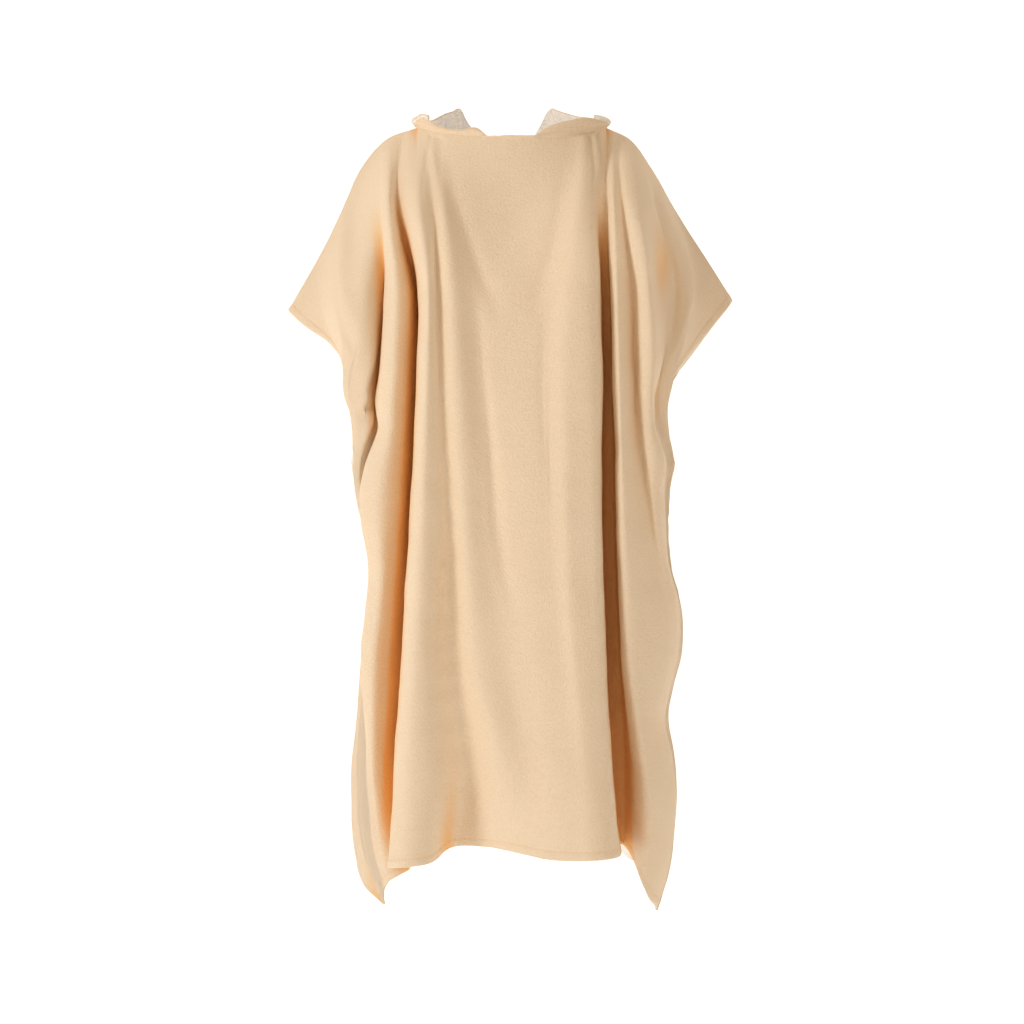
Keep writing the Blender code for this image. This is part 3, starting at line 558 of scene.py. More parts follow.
def panel_tops(folds, lines):
    """The columns' places along the top edge: finer at the neck's front and at the side edges."""
    tops = tops_of(folds)
    places = []
    for number, (left, right) in enumerate(zip(tops, tops[1:])):
        apart = np.linalg.norm(lines[number + 1] - lines[number], axis=1)
        at_neck = abs(left) < NECK_REACH and abs(left + right) < NECK_MIDDLE and right - left > WIDE_GAP
        spacing = NECK_COLUMN_SPACING if at_neck else COLUMN_SPACING
        count = max(2, math.ceil(np.percentile(apart, 80) / spacing))
        places.extend(np.linspace(left, right, count, endpoint=False))
    half = FLAT_WIDTH / 2
    places = np.array([place for place in places if abs(place) < half - EDGE_STEPS[-1] - EDGE_CLEARANCE])
    edges = half - np.array(EDGE_STEPS)
    return np.sort(np.concatenate((places, edges, -edges)))


def surface_normals(surface):
    down = np.gradient(surface, axis=0)
    right = np.gradient(surface, axis=1)
    return unit(np.cross(right, down))


def join_at_edge(front, back, normals_front, normals_back):
    """One outward direction that two meeting edges share."""
    along = unit(np.gradient(front["edge"], axis=0))
    across = front["next"] - back["next"]
    across = unit(across - along * np.sum(across * along, axis=1, keepdims=True))
    outward = unit(np.cross(across, along))
    return outward * np.sign(np.sum(outward * (normals_front + normals_back), axis=1, keepdims=True))


def sewn_normals(front, back):
    """The outward normals of both panels, shared along the shoulders and side seams."""
    normals_front = -surface_normals(front)
    normals_back = surface_normals(back)
    for column, inner in ((0, 6), (-1, -7)):
        end = ARMHOLE_END["left" if column == 0 else "right"]
        outward = join_at_edge(
            {"edge": front[:, column], "next": front[:, inner]},
            {"next": back[:, inner]},
            normals_front[:, column],
            normals_back[:, column],
        )
        blend = np.clip((end - front[:, column, 2]) / 0.02, 0, 1)[:, None]
        for normals in (normals_front, normals_back):
            normals[:, column] = unit(normals[:, column] * (1 - blend) + outward * blend)
    sewn = np.abs(front[0, :, 1] - back[0, :, 1]) < SHARED
    slope = unit(np.gradient(front[0], axis=0))
    outward = unit(np.cross(slope, np.array((0.0, 1.0, 0.0))))
    outward *= np.sign(outward[:, 2:3])
    normals_front[0, sewn] = outward[sewn]
    normals_back[0, sewn] = outward[sewn]
    return normals_front, normals_back


def neck_outward(turn, side):
    """The direction out of the cloth at the neck seam, and the direction down across it."""
    angle = math.radians(turn)
    forward = math.cos(angle)
    reach = NECK_FRONT if forward > 0 else NECK_BACK
    out = unit(np.array((side * math.sin(angle) / NECK_SIDE, -forward / reach, 0.0)))
    outward = 0.8 * out + np.array((0.0, 0.0, 0.6))
    down = 0.6 * out - np.array((0.0, 0.0, 0.8))
    return out, outward, down


def band_top(turn, side):
    """The band's top edge on the cloth's middle surface."""
    knots = [row.turn for row in BAND_SECTIONS]
    heights = [(row.left if side < 0 else row.right, row.lean) for row in BAND_SECTIONS]
    height, lean = smooth_curve(knots, heights, [turn])[0]
    out, _, _ = neck_outward(turn, side)
    return neck_point(turn, side) + out * lean + np.array((0.0, 0.0, height))


def hood_section(turn, side, places):
    """One section of the hood, from the band's top edge to the face edge."""
    knots = [row.turn for row in HOOD_SECTIONS]
    rises = "left_rise" if side < 0 else "right_rise"
    values = [(getattr(row, rises), row.throw, row.depth) for row in HOOD_SECTIONS]
    rise, throw, depth = smooth_curve(knots, values, [turn])[0]
    out, _, _ = neck_outward(turn, side)
    start = band_top(turn, side)
    backward = unit(np.array((0.25 * out[0], 1.0, 0.0)))
    shares = smooth_curve([row.place for row in POUCH], [(row.out, row.down) for row in POUCH], places)
    points = start + shares[:, :1] * throw * backward
    points[:, 2] += places * (rise - start[2]) - shares[:, 1] * depth
    return points


# Cloth lengths on a sampled surface


def lengths_along(surface, axis):
    """Cloth length from the first row or column, at every point."""
    steps = np.linalg.norm(np.diff(surface, axis=axis), axis=2)
    pad = [(0, 0), (0, 0)]
    pad[axis] = (1, 0)
    return np.pad(np.cumsum(steps, axis=axis), pad)


def smooth_step(low, high, values):
    share = np.clip((values - low) / (high - low), 0, 1)
    return share * share * (3 - 2 * share)


def hump(values, centre, width):
    return np.exp(-(((values - centre) / width) ** 2))


def rumple(points, bumps, turn=0):
    """Smooth noise from -1 to 1 at each point, with bumps about `bumps.size` metres apart."""
    flat = points.reshape(-1, 3) / bumps.size + (bumps.seed + turn)
    values = np.array([noise.noise(Vector(point)) for point in flat.tolist()])
    return values.reshape(points.shape[:-1])


def rumpled(points, rumples, turn=0):
    """Several sizes of smooth noise together, in metres."""
    return sum(rumple(points, bumps, turn) * bumps.height for bumps in rumples)


def line_along(distance, place, line):
    """A sunk or raised line at one distance from an edge."""
    return hump(distance, place, line.width) * line.depth


def smoothed(values, width):
    """The running mean over an odd number of neighbours."""
    return np.convolve(np.pad(values, width // 2, mode="edge"), np.ones(width) / width, mode="valid")


def crease_strength(crease, share):
    """How strongly a crease shows at a share of its length."""
    if crease.name.startswith(SEWN_IN):
        return (1 - share) ** 0.8
    return math.sin(math.pi * share) ** 0.6 if 0 < share < 1 else 0.0


def crease_field(creases, places, heights):
    """The sum of all creases at each (place, height), in metres along the outward normal."""
    total = np.zeros_like(heights)
    last = CREASE_SAMPLES - 1
    for crease in creases:
        points = np.array(crease.points, float) / 1000
        path = smooth_curve(np.arange(len(points)), points, np.linspace(0, len(points) - 1, CREASE_SAMPLES))
        width = crease.width / 1000
        near = np.zeros_like(heights)
        for number, (x, z) in enumerate(path):
            across = path[min(number + 1, last)] - path[max(number - 1, 0)]
            step = np.linalg.norm(across) / 2
            reach = math.hypot(width, 0.7 * step)
            across = across / max(np.linalg.norm(across), 1e-9)
            dx, dz = places - x, heights - z
            lengthways = dx * across[0] + dz * across[1]
            sideways = -dx * across[1] + dz * across[0]
            shape = np.exp(-((sideways / width) ** 2) - (lengthways / reach) ** 2 * 0.5)
            near = np.maximum(near, crease_strength(crease, number / last) * shape)
        total += near * crease.depth / 1000
    return total


class Panel:
    """One panel's fine surface with its cloth lengths, edge distances and outward normals."""

    def __init__(self, name, surface, normals, tops):
        self.name = name
        self.surface = surface
        self.normals = normals
        self.places = np.broadcast_to(tops, surface.shape[:2])
        self.heights = surface[..., 2]
        down = lengths_along(surface, 0)
        across = lengths_along(surface, 1)
        middle = int(np.argmin(np.abs(tops)))
        self.across = across - across[:, middle:middle + 1]
        self.from_top = down
        self.from_hem = down[-1:] - down
        self.from_side = {"left": across, "right": across[:, -1:] - across}
        self.spread = np.gradient(across, axis=1) / np.gradient(tops)

    def open_edge(self, side):
        """How far the armhole edge is, or a long way where the side is sewn."""
        end = ARMHOLE_END[side]
        return self.from_side[side] + smooth_step(end + 0.010, end - 0.004, self.heights) * FAR

    def seam_edge(self, side):
        """How far the sewn side edge is, or a long way where the side is open."""
        end = ARMHOLE_END[side]
        return self.from_side[side] + smooth_step(end - 0.006, end + 0.006, self.heights) * FAR


def eased(surface):
    """The surface with the places opened out where the folds turn the cloth over on itself."""
    surface = surface.copy()
    for _ in range(EASING_PASSES):
        calm = surface.copy()
        for _ in range(CALMING_PASSES):
            calm[1:-1, 1:-1] = (calm[:-2, 1:-1] + calm[2:, 1:-1] + calm[1:-1, :-2] + calm[1:-1, 2:]) / 4
        agree = np.sum(surface_normals(surface) * surface_normals(calm), axis=-1)
        share = smooth_step(*TURNED_OVER, agree)
        for axis in EASING_SPREAD:
            beside = np.maximum(np.roll(share, 1, axis), np.roll(share, -1, axis))
            share = np.maximum(share, SPREAD_KEPT * beside)
        surface += (calm - surface) * share[..., None]
    return surface


def panel_pair(cloth):
    """Both panels' fine surfaces with the same columns, joined at the shoulders and side seams."""
    shares = panel_shares()
    front_lines = fold_lines(FRONT_FOLDS, -1, shares)
    back_lines = fold_lines(BACK_FOLDS, 1, shares)
    for line, side in ((0, "left"), (-1, "right")):
        sewn = front_lines[line][:, 2] < ARMHOLE_END[side]
        back_lines[line][sewn] = front_lines[line][sewn]
    tops = panel_tops(FRONT_FOLDS, front_lines)
    front_columns = np.interp(tops, tops_of(FRONT_FOLDS), np.arange(len(FRONT_FOLDS)))
    back_columns = np.interp(tops, tops_of(BACK_FOLDS), np.arange(len(BACK_FOLDS)))
    front = eased(panel_surface(front_lines, tops, front_columns, -1))
    back = eased(panel_surface(back_lines, tops, back_columns, 1))
    normals_front, normals_back = sewn_normals(front, back)
    for normals, facing in ((normals_front, -1), (normals_back, 1)):
        for column, along in enumerate(tops):
            if abs(along) <= NECK_WIDTH_ON_PANEL + SHARED:
                turn = 90 * abs(along) / NECK_WIDTH_ON_PANEL
                side = -1 if along < 0 else 1
                normals[0, column] = neck_outward(turn if facing < 0 else 180 - turn, side)[1]
    panels = (Panel("front", front, normals_front, tops), Panel("back", back, normals_back, tops))
    for panel, creases in zip(panels, (FRONT_CREASES, BACK_CREASES)):
        lay_creases(panel, creases, cloth)
    return panels


def lay_creases(panel, creases, cloth):
    """Moves the surface along its normals: creases, slow unevenness and puckers along the sewn edges."""
    hem = cloth.hem_width
    sides = np.minimum(*panel.from_side.values())
    slack = (np.abs(panel.places) < NECK_SLACK_REACH) * NECK_SLACK
    held = smooth_step(*SIDE_HELD, sides) * smooth_step(*TOP_HELD, panel.from_top + slack)
    moved = crease_field(creases, panel.places, panel.heights) * held
    moved *= smooth_step(*NOT_CROWDED, panel.spread)
    free = smooth_step(*SIDE_FREE, sides) * smooth_step(*TOP_FREE, panel.from_top)
    moved += free * rumpled(panel.surface, PANEL_RUMPLES)
    level = panel.heights * 0
    laid_flat = np.dstack((panel.across, panel.from_top, level))
    slow = HEM_EVEN + HEM_DRIFT.height * rumple(laid_flat, HEM_DRIFT)
    start, full = (share * hem for share in HEM_PUCKER_REACH)
    at_hem = smooth_step(start, full, panel.from_hem) * smooth_step(*HEM_EDGE_EASE, panel.from_hem)
    moved += at_hem * rumple(laid_flat, HEM_WAVE) * slow * cloth.pucker
    along_side = rumple(np.dstack((level, panel.heights, level)), SIDE_WAVE)
    start, full = (share * hem for share in SIDE_PUCKER_REACH)
    for side in ("left", "right"):
        near = np.minimum(panel.open_edge(side), panel.seam_edge(side))
        moved += smooth_step(start, full, near) * along_side * cloth.pucker * SIDE_WAVE.height
    panel.surface = panel.surface + panel.normals * moved[..., None]
    # The fold depth is kept as the mask for the shade painted into the folds
    panel.depth_in_fold = fold_depth(panel)


def fold_depth(panel):
    """How deep each point lies inside its neighbours sideways, from 0 on a crown to 1 in a deep trough. It is
    the mask where shade is painted into the folds.
    """
    depth = np.zeros(panel.surface.shape[:2])
    x = panel.surface[..., 0]
    out = panel.surface[..., 1] * (-1 if panel.name == "front" else 1)
    count = len(DEPTH_PLACES)
    for row in range(len(out)):
        slot = np.clip(np.searchsorted(DEPTH_PLACES, x[row]), 0, count - 1)
        crown = np.full(count, -1.0)
        np.maximum.at(crown, slot, out[row])
        for _ in range(2):
            crown[1:-1] = np.maximum(crown[1:-1], np.maximum(crown[:-2], crown[2:]))
        spread = np.array([crown[max(0, k - NEIGHBOURS):k + NEIGHBOURS + 1].max() for k in range(count)])
        depth[row] = smoothed(spread, 5)[slot] - out[row]
    depth = np.apply_along_axis(smoothed, 0, depth, 7)
    inward = np.minimum(x - x.min(axis=1, keepdims=True), x.max(axis=1, keepdims=True) - x)
    return smooth_step(*FOLD_DEPTHS, depth) * smooth_step(*FOLD_INWARD, inward)


# Shells


def grid_shell(name, surface, normals, outer_half, inner_half, attributes, uv):
    """A closed shell about a sampled surface, with a round edge all the way round."""
    rows, columns = surface.shape[:2]
    count = rows * columns
    outer = surface + normals * outer_half[..., None]
    inner = surface - normals * inner_half[..., None]
    index = np.arange(count).reshape(rows, columns)
    a, b = index[:-1, :-1].ravel(), index[:-1, 1:].ravel()
    c, d = index[1:, 1:].ravel(), index[1:, :-1].ravel()
    faces = [np.column_stack((a, b, c, d)), np.column_stack((a, d, c, b)) + count]
    rim = np.concatenate((index[0, :-1], index[:-1, -1], index[-1, :0:-1], index[:0:-1, 0]))
    flat = surface.reshape(-1, 3)
    away = np.zeros_like(surface)
    away[0] += unit(surface[0] - surface[1])
    away[-1] += unit(surface[-1] - surface[-2])
    away[:, 0] += unit(surface[:, 0] - surface[:, 1])
    away[:, -1] += unit(surface[:, -1] - surface[:, -2])
    away = unit(away.reshape(-1, 3))[rim]
    up = normals.reshape(-1, 3)[rim]
    high, low = outer_half.ravel()[rim][:, None], inner_half.ravel()[rim][:, None]
    loops = [rim]
    extra = []
    for number, turn in enumerate(RIM_TURNS):
        angle = math.radians(turn)
        lift = (high + low) / 2
        middle = flat[rim] + up * (high - low) / 2
        extra.append(middle + up * lift * math.cos(angle) + away * lift * RIM_REACH * math.sin(angle))
        loops.append(2 * count + number * len(rim) + np.arange(len(rim)))
    loops.append(rim + count)
    for here, there in zip(loops, loops[1:]):
        faces.append(np.column_stack((np.roll(here, -1), here, there, np.roll(there, -1))))
    points = np.vstack([outer.reshape(-1, 3), inner.reshape(-1, 3)] + extra)
    all_faces = np.vstack(faces)
    mesh = bpy.data.meshes.new(name)
    mesh.from_pydata(points.tolist(), [], all_faces.tolist())
    from_point = np.concatenate([np.arange(count), np.arange(count)] + [rim] * len(RIM_TURNS))
    corners = np.empty(len(mesh.loops), int)
    mesh.loops.foreach_get("vertex_index", corners)
    layer = mesh.uv_layers.new(name="cloth")
    layer.data.foreach_set("uv", uv.reshape(-1, 2)[from_point[corners]].astype(np.float32).ravel())
    for title, values in attributes.items():
        stored = mesh.attributes.new(title, "FLOAT", "POINT")
        stored.data.foreach_set("value", values.ravel()[from_point].astype(np.float32))
    slots = np.zeros(len(all_faces), int)
    quads = len(a)
    slots[quads:2 * quads] = 1
    mesh.polygons.foreach_set("material_index", slots)
    if signed_volume(points, all_faces) < 0:
        mesh.flip_normals()
    mesh.update()
    mesh.shade_smooth()
    return mesh


def signed_volume(points, faces):
    a, b, c, d = (points[faces[:, k]] for k in range(4))
    return float(np.sum(a * np.cross(b, c)) + np.sum(a * np.cross(c, d))) / 6


def add_object(name, mesh, materials):
    obj = bpy.data.objects.new(name, mesh)
    for material in materials:
        mesh.materials.append(material)
    bpy.context.scene.collection.objects.link(obj)
    return obj


def settle(obj, replaces=()):
    """Puts the finished piece on the body and hides the solids it stands for."""
    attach(obj, "root")
    for node in replaces:
        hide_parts(node)


def panel_shell(panel, cloth):
    """The panel with its hem, armhole and neck edges turned in and sewn down."""
    hem = cloth.hem_width
    half = cloth.thickness / 2
    from_middle = np.abs(panel.places)
    at_neck = (from_middle < NECK_TURN_REACH) & (panel.name == "front")
    neck = np.where(at_neck, panel.from_top * hem / cloth.neck_turn, 1.0)
    edge = np.minimum.reduce((panel.from_hem, neck, panel.open_edge("left"), panel.open_edge("right")))
    turned = smooth_step(hem + STITCH_INSET, hem - TURN_EASE, edge)
    seam = np.minimum(panel.seam_edge("left"), panel.seam_edge("right"))
    outer = half + turned * cloth.turned_rise - line_along(edge, hem - STITCH_INSET, HEM_GROOVE)
    outer -= line_along(seam, cloth.seam_allowance, SEAM_GROOVE)
    outer += line_along(seam, SEAM_ROLL_PLACE, SEAM_ROLL)
    inner = half + turned * cloth.turned_rise * INNER_RISE
    beyond_neck = from_middle > NECK_TURN_REACH
    taper = 1 - TOP_THINNING * hump(panel.from_top, 0.0, TOP_THIN_REACH) * beyond_neck
    uv = np.dstack((panel.across, panel.from_top))
    panel.outer_face = panel.surface + panel.normals * (outer * taper)[..., None]
    # The "fold" attribute carries the mask for the shade painted into the folds
    return grid_shell(
        panel.name + "_cloth", panel.surface, panel.normals, outer * taper, inner * taper,
        {"fold": panel.depth_in_fold, "edge": edge}, uv)


def line_on(face, distance, wanted, axis, keep):
    """Points on the face at one cloth distance from an edge, walking along the other direction."""
    if axis == 0:
        face, distance, keep = face.transpose(1, 0, 2), distance.T, keep.T
    points = []
    for row in range(len(face)):
        if not keep[row].any():
            points.append(None)
            continue
        order = np.argsort(distance[row])
        points.append([np.interp(wanted, distance[row][order], face[row, order, k]) for k in range(3)])
    return points


def runs_of(points):
    """Splits a list with gaps into unbroken runs of at least four points."""
    runs, run = [], []
    for point in points + [None]:
        if point is None:
            if len(run) > 3:
                runs.append(run)
            run = []
        else:
            run.append(point)
    return runs


def stitch_lines(panel, cloth):
    """The rows of stitches on one panel, just above its outer face."""
    face = panel.outer_face + panel.normals * cloth.thread * THREAD_SUNK
    hem = cloth.hem_width - STITCH_INSET
    everywhere = np.ones(panel.heights.shape, bool)
    lines = runs_of(line_on(face, panel.from_hem, hem, 0, everywhere))
    for (side, near), column in zip(panel.from_side.items(), (slice(0, 1), slice(-1, None))):
        above = np.repeat(panel.heights[:, column] > ARMHOLE_END[side] + 0.004, near.shape[1], axis=1)
        lines += runs_of(line_on(face, near, hem, 1, above))
        lines += runs_of(line_on(face, near, cloth.seam_allowance, 1, ~above))
    if panel.name == "front":
        inside = np.abs(panel.places) < NECK_STITCH_REACH
        lines += runs_of(line_on(face, panel.from_top, cloth.neck_turn - NECK_STITCH_INSET, 0, inside))
    return lines


def new_tree(name, inputs):
    """A geometry nodes tree with its inputs: a node maker for it and its input sockets."""
    tree = bpy.data.node_groups.new(name, "GeometryNodeTree")
    for title, kind in inputs.items():
        tree.interface.new_socket(title, in_out="INPUT", socket_type="NodeSocket" + kind)
    tree.interface.new_socket("Geometry", in_out="OUTPUT", socket_type="NodeSocketGeometry")
    return NodeMaker(tree), tree.nodes.new("NodeGroupInput").outputs


def finish_tree(made, instances, material):
    """Makes the instances real, gives them their material and hands them out of the tree."""
    real = made.wire("GeometryNodeRealizeInstances", {}, {"Geometry": instances}, "Geometry")
    painted = made.wire("GeometryNodeSetMaterial", {}, {"Geometry": real, "Material": material}, "Geometry")
    result = made.tree.nodes.new("NodeGroupOutput")
    made.tree.links.new(painted.socket, result.inputs["Geometry"])
    return made.tree


def stitch_tree():
    """Geometry nodes: one small thread capsule at each step along the lines."""
    made, given = new_tree("stitch_rows", {
        "Geometry": "Geometry", "Pitch": "Float", "Stitch Length": "Float", "Thread Radius": "Float",
        "Material": "Material"})
    curve = made.wire("GeometryNodeMeshToCurve", {}, {"Mesh": given["Geometry"]}, "Curve")
    even = made.wire("GeometryNodeResampleCurve", {"mode": "LENGTH"},
                     {"Curve": curve, "Length": given["Pitch"]}, "Curve")
    thread = made.wire("GeometryNodeMeshUVSphere", {}, {"Segments": 6, "Rings": 4, "Radius": 0.5}, "Mesh")
    size = made.wire("ShaderNodeCombineXYZ", {}, {
        "X": given["Stitch Length"], "Y": given["Thread Radius"], "Z": given["Thread Radius"]}, "Vector")
    formed = made.wire("GeometryNodeTransform", {}, {"Geometry": thread, "Scale": size}, "Geometry")
    tangent = made.wire("GeometryNodeInputTangent", {}, {}, "Tangent")
    aligned = made.wire("FunctionNodeAlignRotationToVector", {"axis": "X"}, {"Vector": tangent}, "Rotation")
    placed = made.wire("GeometryNodeInstanceOnPoints", {}, {
        "Points": even, "Instance": formed, "Rotation": aligned}, "Instances")
    return finish_tree(made, placed, given["Material"])


def loop_tree():
    """Geometry nodes: small terry loops scattered over a patch, with a fixed seed."""
    made, given = new_tree("terry_loops", {
        "Geometry": "Geometry", "Density": "Float", "Loop Radius": "Float", "Yarn Radius": "Float",
        "Seed": "Int", "Material": "Material"})
    spread = made.node("GeometryNodeDistributePointsOnFaces", {}, {
        "Mesh": given["Geometry"], "Density": given["Density"], "Seed": given["Seed"]})
    arc = made.wire("GeometryNodeCurveArc", {}, {
        "Resolution": 6, "Radius": given["Loop Radius"],
        "Start Angle": math.radians(-35), "Sweep Angle": math.radians(250)}, "Curve")
    yarn = made.wire("GeometryNodeCurvePrimitiveCircle", {}, {
        "Resolution": 3, "Radius": given["Yarn Radius"]}, "Curve")
    loop = made.wire("GeometryNodeCurveToMesh", {}, {"Curve": arc, "Profile Curve": yarn}, "Mesh")
    stood = made.wire("GeometryNodeTransform", {}, {
        "Geometry": loop, "Rotation": (math.pi / 2, 0.0, 0.0)}, "Geometry")
    lean = made.wire("FunctionNodeRandomValue", {"data_type": "FLOAT_VECTOR"}, {
        "Min": (-0.7, -0.7, 0.0), "Max": (0.7, 0.7, 6.28), "Seed": given["Seed"]}, "Value")
    size = made.wire("FunctionNodeRandomValue", {"data_type": "FLOAT"}, {
        "Min": 0.7, "Max": 1.25, "Seed": given["Seed"]}, "Value")
    turned = made.wire("FunctionNodeRotateRotation", {"rotation_space": "LOCAL"}, {
        "Rotation": spread.outputs["Rotation"], "Rotate By": lean}, "Rotation")
    placed = made.wire("GeometryNodeInstanceOnPoints", {}, {
        "Points": spread.outputs["Points"], "Instance": stood, "Rotation": turned,
        "Scale": size}, "Instances")
    return finish_tree(made, placed, given["Material"])


def grown(name, mesh, tree, settings, material):
    """Runs a geometry nodes tree on a mesh and returns the result as a plain mesh object."""
    carrier = bpy.data.objects.new(name + "_lines", mesh)
    bpy.context.scene.collection.objects.link(carrier)
    modifier = carrier.modifiers.new("made", "NODES")
    modifier.node_group = tree
    for item in tree.interface.items_tree:
        if item.in_out == "INPUT" and item.name in settings:
            modifier[item.identifier] = settings[item.name]
    bpy.context.view_layer.update()
    graph = bpy.context.evaluated_depsgraph_get()
    result = bpy.data.meshes.new_from_object(carrier.evaluated_get(graph))
    bpy.data.objects.remove(carrier)
    result.name = name
    result.shade_smooth()
    if not result.polygons:
        raise RuntimeError(name + " came out empty")
    result.materials.clear()
    return add_object(name, result, [material])


def lines_mesh(name, lines):
    points, edges = [], []
    for line in lines:
        start = len(points)
        points.extend(line)
        edges.extend((k, k + 1) for k in range(start, len(points) - 1))
    mesh = bpy.data.meshes.new(name)
    mesh.from_pydata([tuple(map(float, point)) for point in points], edges, [])
    return mesh


def cloth_piece(name, mesh, finish):
    """A cloth shell with the woven face outside and the terry inside."""
    return add_object(name, mesh, [finish["peach_face"], finish["terry_face"]])


def sew(name, lines, tree, cloth, finish):
    """Rows of stitches along the lines."""
    thread = finish["peach_thread"]
    return grown(name, lines_mesh("rows", lines), tree, {
        "Pitch": cloth.stitch_pitch, "Stitch Length": cloth.stitch_length,
        "Thread Radius": cloth.thread, "Material": thread}, thread)


# Materials


class NodeMaker:
    """Makes nodes of one tree from a type, its settings and its sockets."""

    def __init__(self, tree):
        self.tree = tree

    def node(self, kind, settings, sockets):
        made = self.tree.nodes.new(kind)
        for title, value in settings.items():
            setattr(made, title, value)
        for title, value in sockets.items():
            usable = [s for s in made.inputs if (s.name == title or s.identifier == title) and s.enabled]
            socket = usable[0] if usable else made.inputs[title]
            if isinstance(value, Wire):
                value = value.socket
            if isinstance(value, bpy.types.NodeSocket):
                self.tree.links.new(value, socket)
            else:
                socket.default_value = value
        return made

    def wire(self, kind, settings, sockets, output=0):
        made = self.node(kind, settings, sockets)
        if isinstance(output, str):
            return Wire(self, made.outputs[output])
        shown = [s for s in made.outputs if s.enabled]
        return Wire(self, shown[output])

    def math(self, operation, *values):
        names = ("Value", "Value_001", "Value_002")
        return self.wire("ShaderNodeMath", {"operation": operation}, dict(zip(names, values)))

    def mix(self, share, first, second):
        return self.wire("ShaderNodeMix", {"data_type": "RGBA"},
                         {"Factor_Float": share, "A_Color": first, "B_Color": second})

    def feed(self, shader, wires):
        for title, wire in wires.items():
            self.tree.links.new(wire.socket, shader.inputs[title])


class Wire:
    """A socket that adds Math nodes when it is used in an expression."""

    def __init__(self, maker, socket):
        self.maker = maker
        self.socket = socket

    def __add__(self, other):
        return self.maker.math("ADD", self, other)

    __radd__ = __add__

    def __mul__(self, other):
        return self.maker.math("MULTIPLY", self, other)

    __rmul__ = __mul__

    def __sub__(self, other):
        return self.maker.math("SUBTRACT", self, other)

    def __rsub__(self, other):
        return self.maker.math("SUBTRACT", other, self)

    def __pow__(self, other):
        return self.maker.math("POWER", self, other)

    def clipped(self):
        return self.maker.math("MINIMUM", self.maker.math("MAXIMUM", self, 0.0), 1.0)

    def sine(self):
        return self.maker.math("SINE", self)

    def size(self):
        return self.maker.math("ABSOLUTE", self)


def new_material(name, sheen, sheen_tint):
    material = bpy.data.materials.new(name)
    material.use_nodes = True
    shader = material.node_tree.nodes["Principled BSDF"]
    shader.inputs["Metallic"].default_value = 0.0
    shader.inputs["Specular IOR Level"].default_value = 0.15
    shader.inputs["Sheen Weight"].default_value = sheen
    shader.inputs["Sheen Roughness"].default_value = 0.45
    shader.inputs["Sheen Tint"].default_value = (*sheen_tint, 1.0)
    return material, shader, NodeMaker(material.node_tree)


def uv_wires(maker):
    place = maker.node("ShaderNodeUVMap", {"uv_map": "cloth"}, {})
    split = maker.node("ShaderNodeSeparateXYZ", {}, {"Vector": place.outputs["UV"]})
    return Wire(maker, place.outputs["UV"]), Wire(maker, split.outputs["X"]), Wire(maker, split.outputs["Y"])


def scattered(maker, vector, grain):
    return maker.wire("ShaderNodeTexNoise", {}, {
        "Vector": vector, "Scale": grain.scale, "Detail": grain.detail, "Roughness": grain.roughness}, "Fac")


def weighed(start, parts, weights):
    """The start value with each named part added at its weight."""
    for title, weight in weights.items():
        start = start + parts[title] * weight
    return start


def peach_material(finish):
    """Flat woven face: crosswise ribs, fine warp threads and a short brushed nap, with shade painted into the
    folds and along the sunk hem line.
    """
    material, shader, maker = new_material("peach_face", finish.sheen, (1.0, 0.90, 0.78))
    place, u, v = uv_wires(maker)
    grains = {"drift": DRIFT, "nap": NAP, "tuft": TUFT, "cloud": CLOUD, "speck": SPECK}
    parts = {title: scattered(maker, place, grain) - 0.5 for title, grain in grains.items()}
    drift, nap = parts["drift"], parts["nap"]
    parts["rib"] = ((v + drift * RIB_DRIFT) * (2 * math.pi / finish.rib_pitch)).sine()
    parts["warp"] = ((u + drift * WARP_DRIFT) * (2 * math.pi / finish.warp_pitch)).sine()
    shade = weighed(0.5, parts, WEAVE_SHADE).clipped()
    base = maker.mix(shade, (*finish.peach_low, 1.0), (*finish.peach, 1.0))
    # fold is the mask for the shade painted into the folds
    fold, edge = (maker.wire("ShaderNodeAttribute", {"attribute_name": title}, {}, "Fac")
                  for title in ("fold", "edge"))
    # sewn is shade painted along the sunk hem line, at seam_place from the edge
    sewn = (1.0 - (edge - finish.seam_place).size() * (1 / finish.seam_blur)).clipped() * SEAM_SHADE
    # The woven face is mixed toward the painted shade colour in the folds and along the sunk hem line
    colour = maker.mix((fold * finish.painted_fold_shade_strength + sewn).clipped(), base, (*finish.painted_shade_colour, 1.0))
    bump = maker.wire("ShaderNodeBump", {}, {
        "Strength": 1.0, "Distance": 0.0010, "Height": weighed(0.0, parts, WEAVE_HEIGHT)}, "Normal")
    maker.feed(shader, {"Base Color": colour, "Normal": bump, "Roughness": (0.86 + nap * 0.12).clipped()})
    return material


def terry_material(finish):
    """Loop pile: round loops packed close with shade painted between them, a little painted glow, and a few
    that stand up.
    """
    material, shader, maker = new_material("terry_face", finish.sheen, (1.0, 0.97, 0.92))
    place, _, _ = uv_wires(maker)
    cells = maker.wire("ShaderNodeTexVoronoi", {"feature": "F1"}, {
        "Vector": place, "Scale": TERRY_CELLS, "Randomness": 1.0}, "Distance")
    curl = scattered(maker, place, CURL) - 0.5
    cloudy = scattered(maker, place, TERRY_CLOUD) - 0.5
    height = (1.0 - cells) + curl * 0.7 + cloudy * 0.6
    # Painted shade between the loops: darker away from each loop's centre, with random tone from curl and
    # cloudy
    shade = (1.05 - cells * 0.75 + curl * 0.30 + cloudy * 0.35).clipped()
    colour = maker.mix(shade, (*finish.terry_low, 1.0), (*finish.terry, 1.0))
    bump = maker.wire("ShaderNodeBump", {}, {"Strength": 0.9, "Distance": 0.0014, "Height": height}, "Normal")
    # Painted light: the terry glows a little, though no lamp is in it, so its shaded inner face stays light
    shader.inputs["Emission Color"].default_value = (1.0, 0.97, 0.93, 1.0)
    shader.inputs["Emission Strength"].default_value = finish.terry_painted_glow
    maker.feed(shader, {"Base Color": colour, "Normal": bump, "Roughness": (0.92 + curl * 0.06).clipped()})
    return material


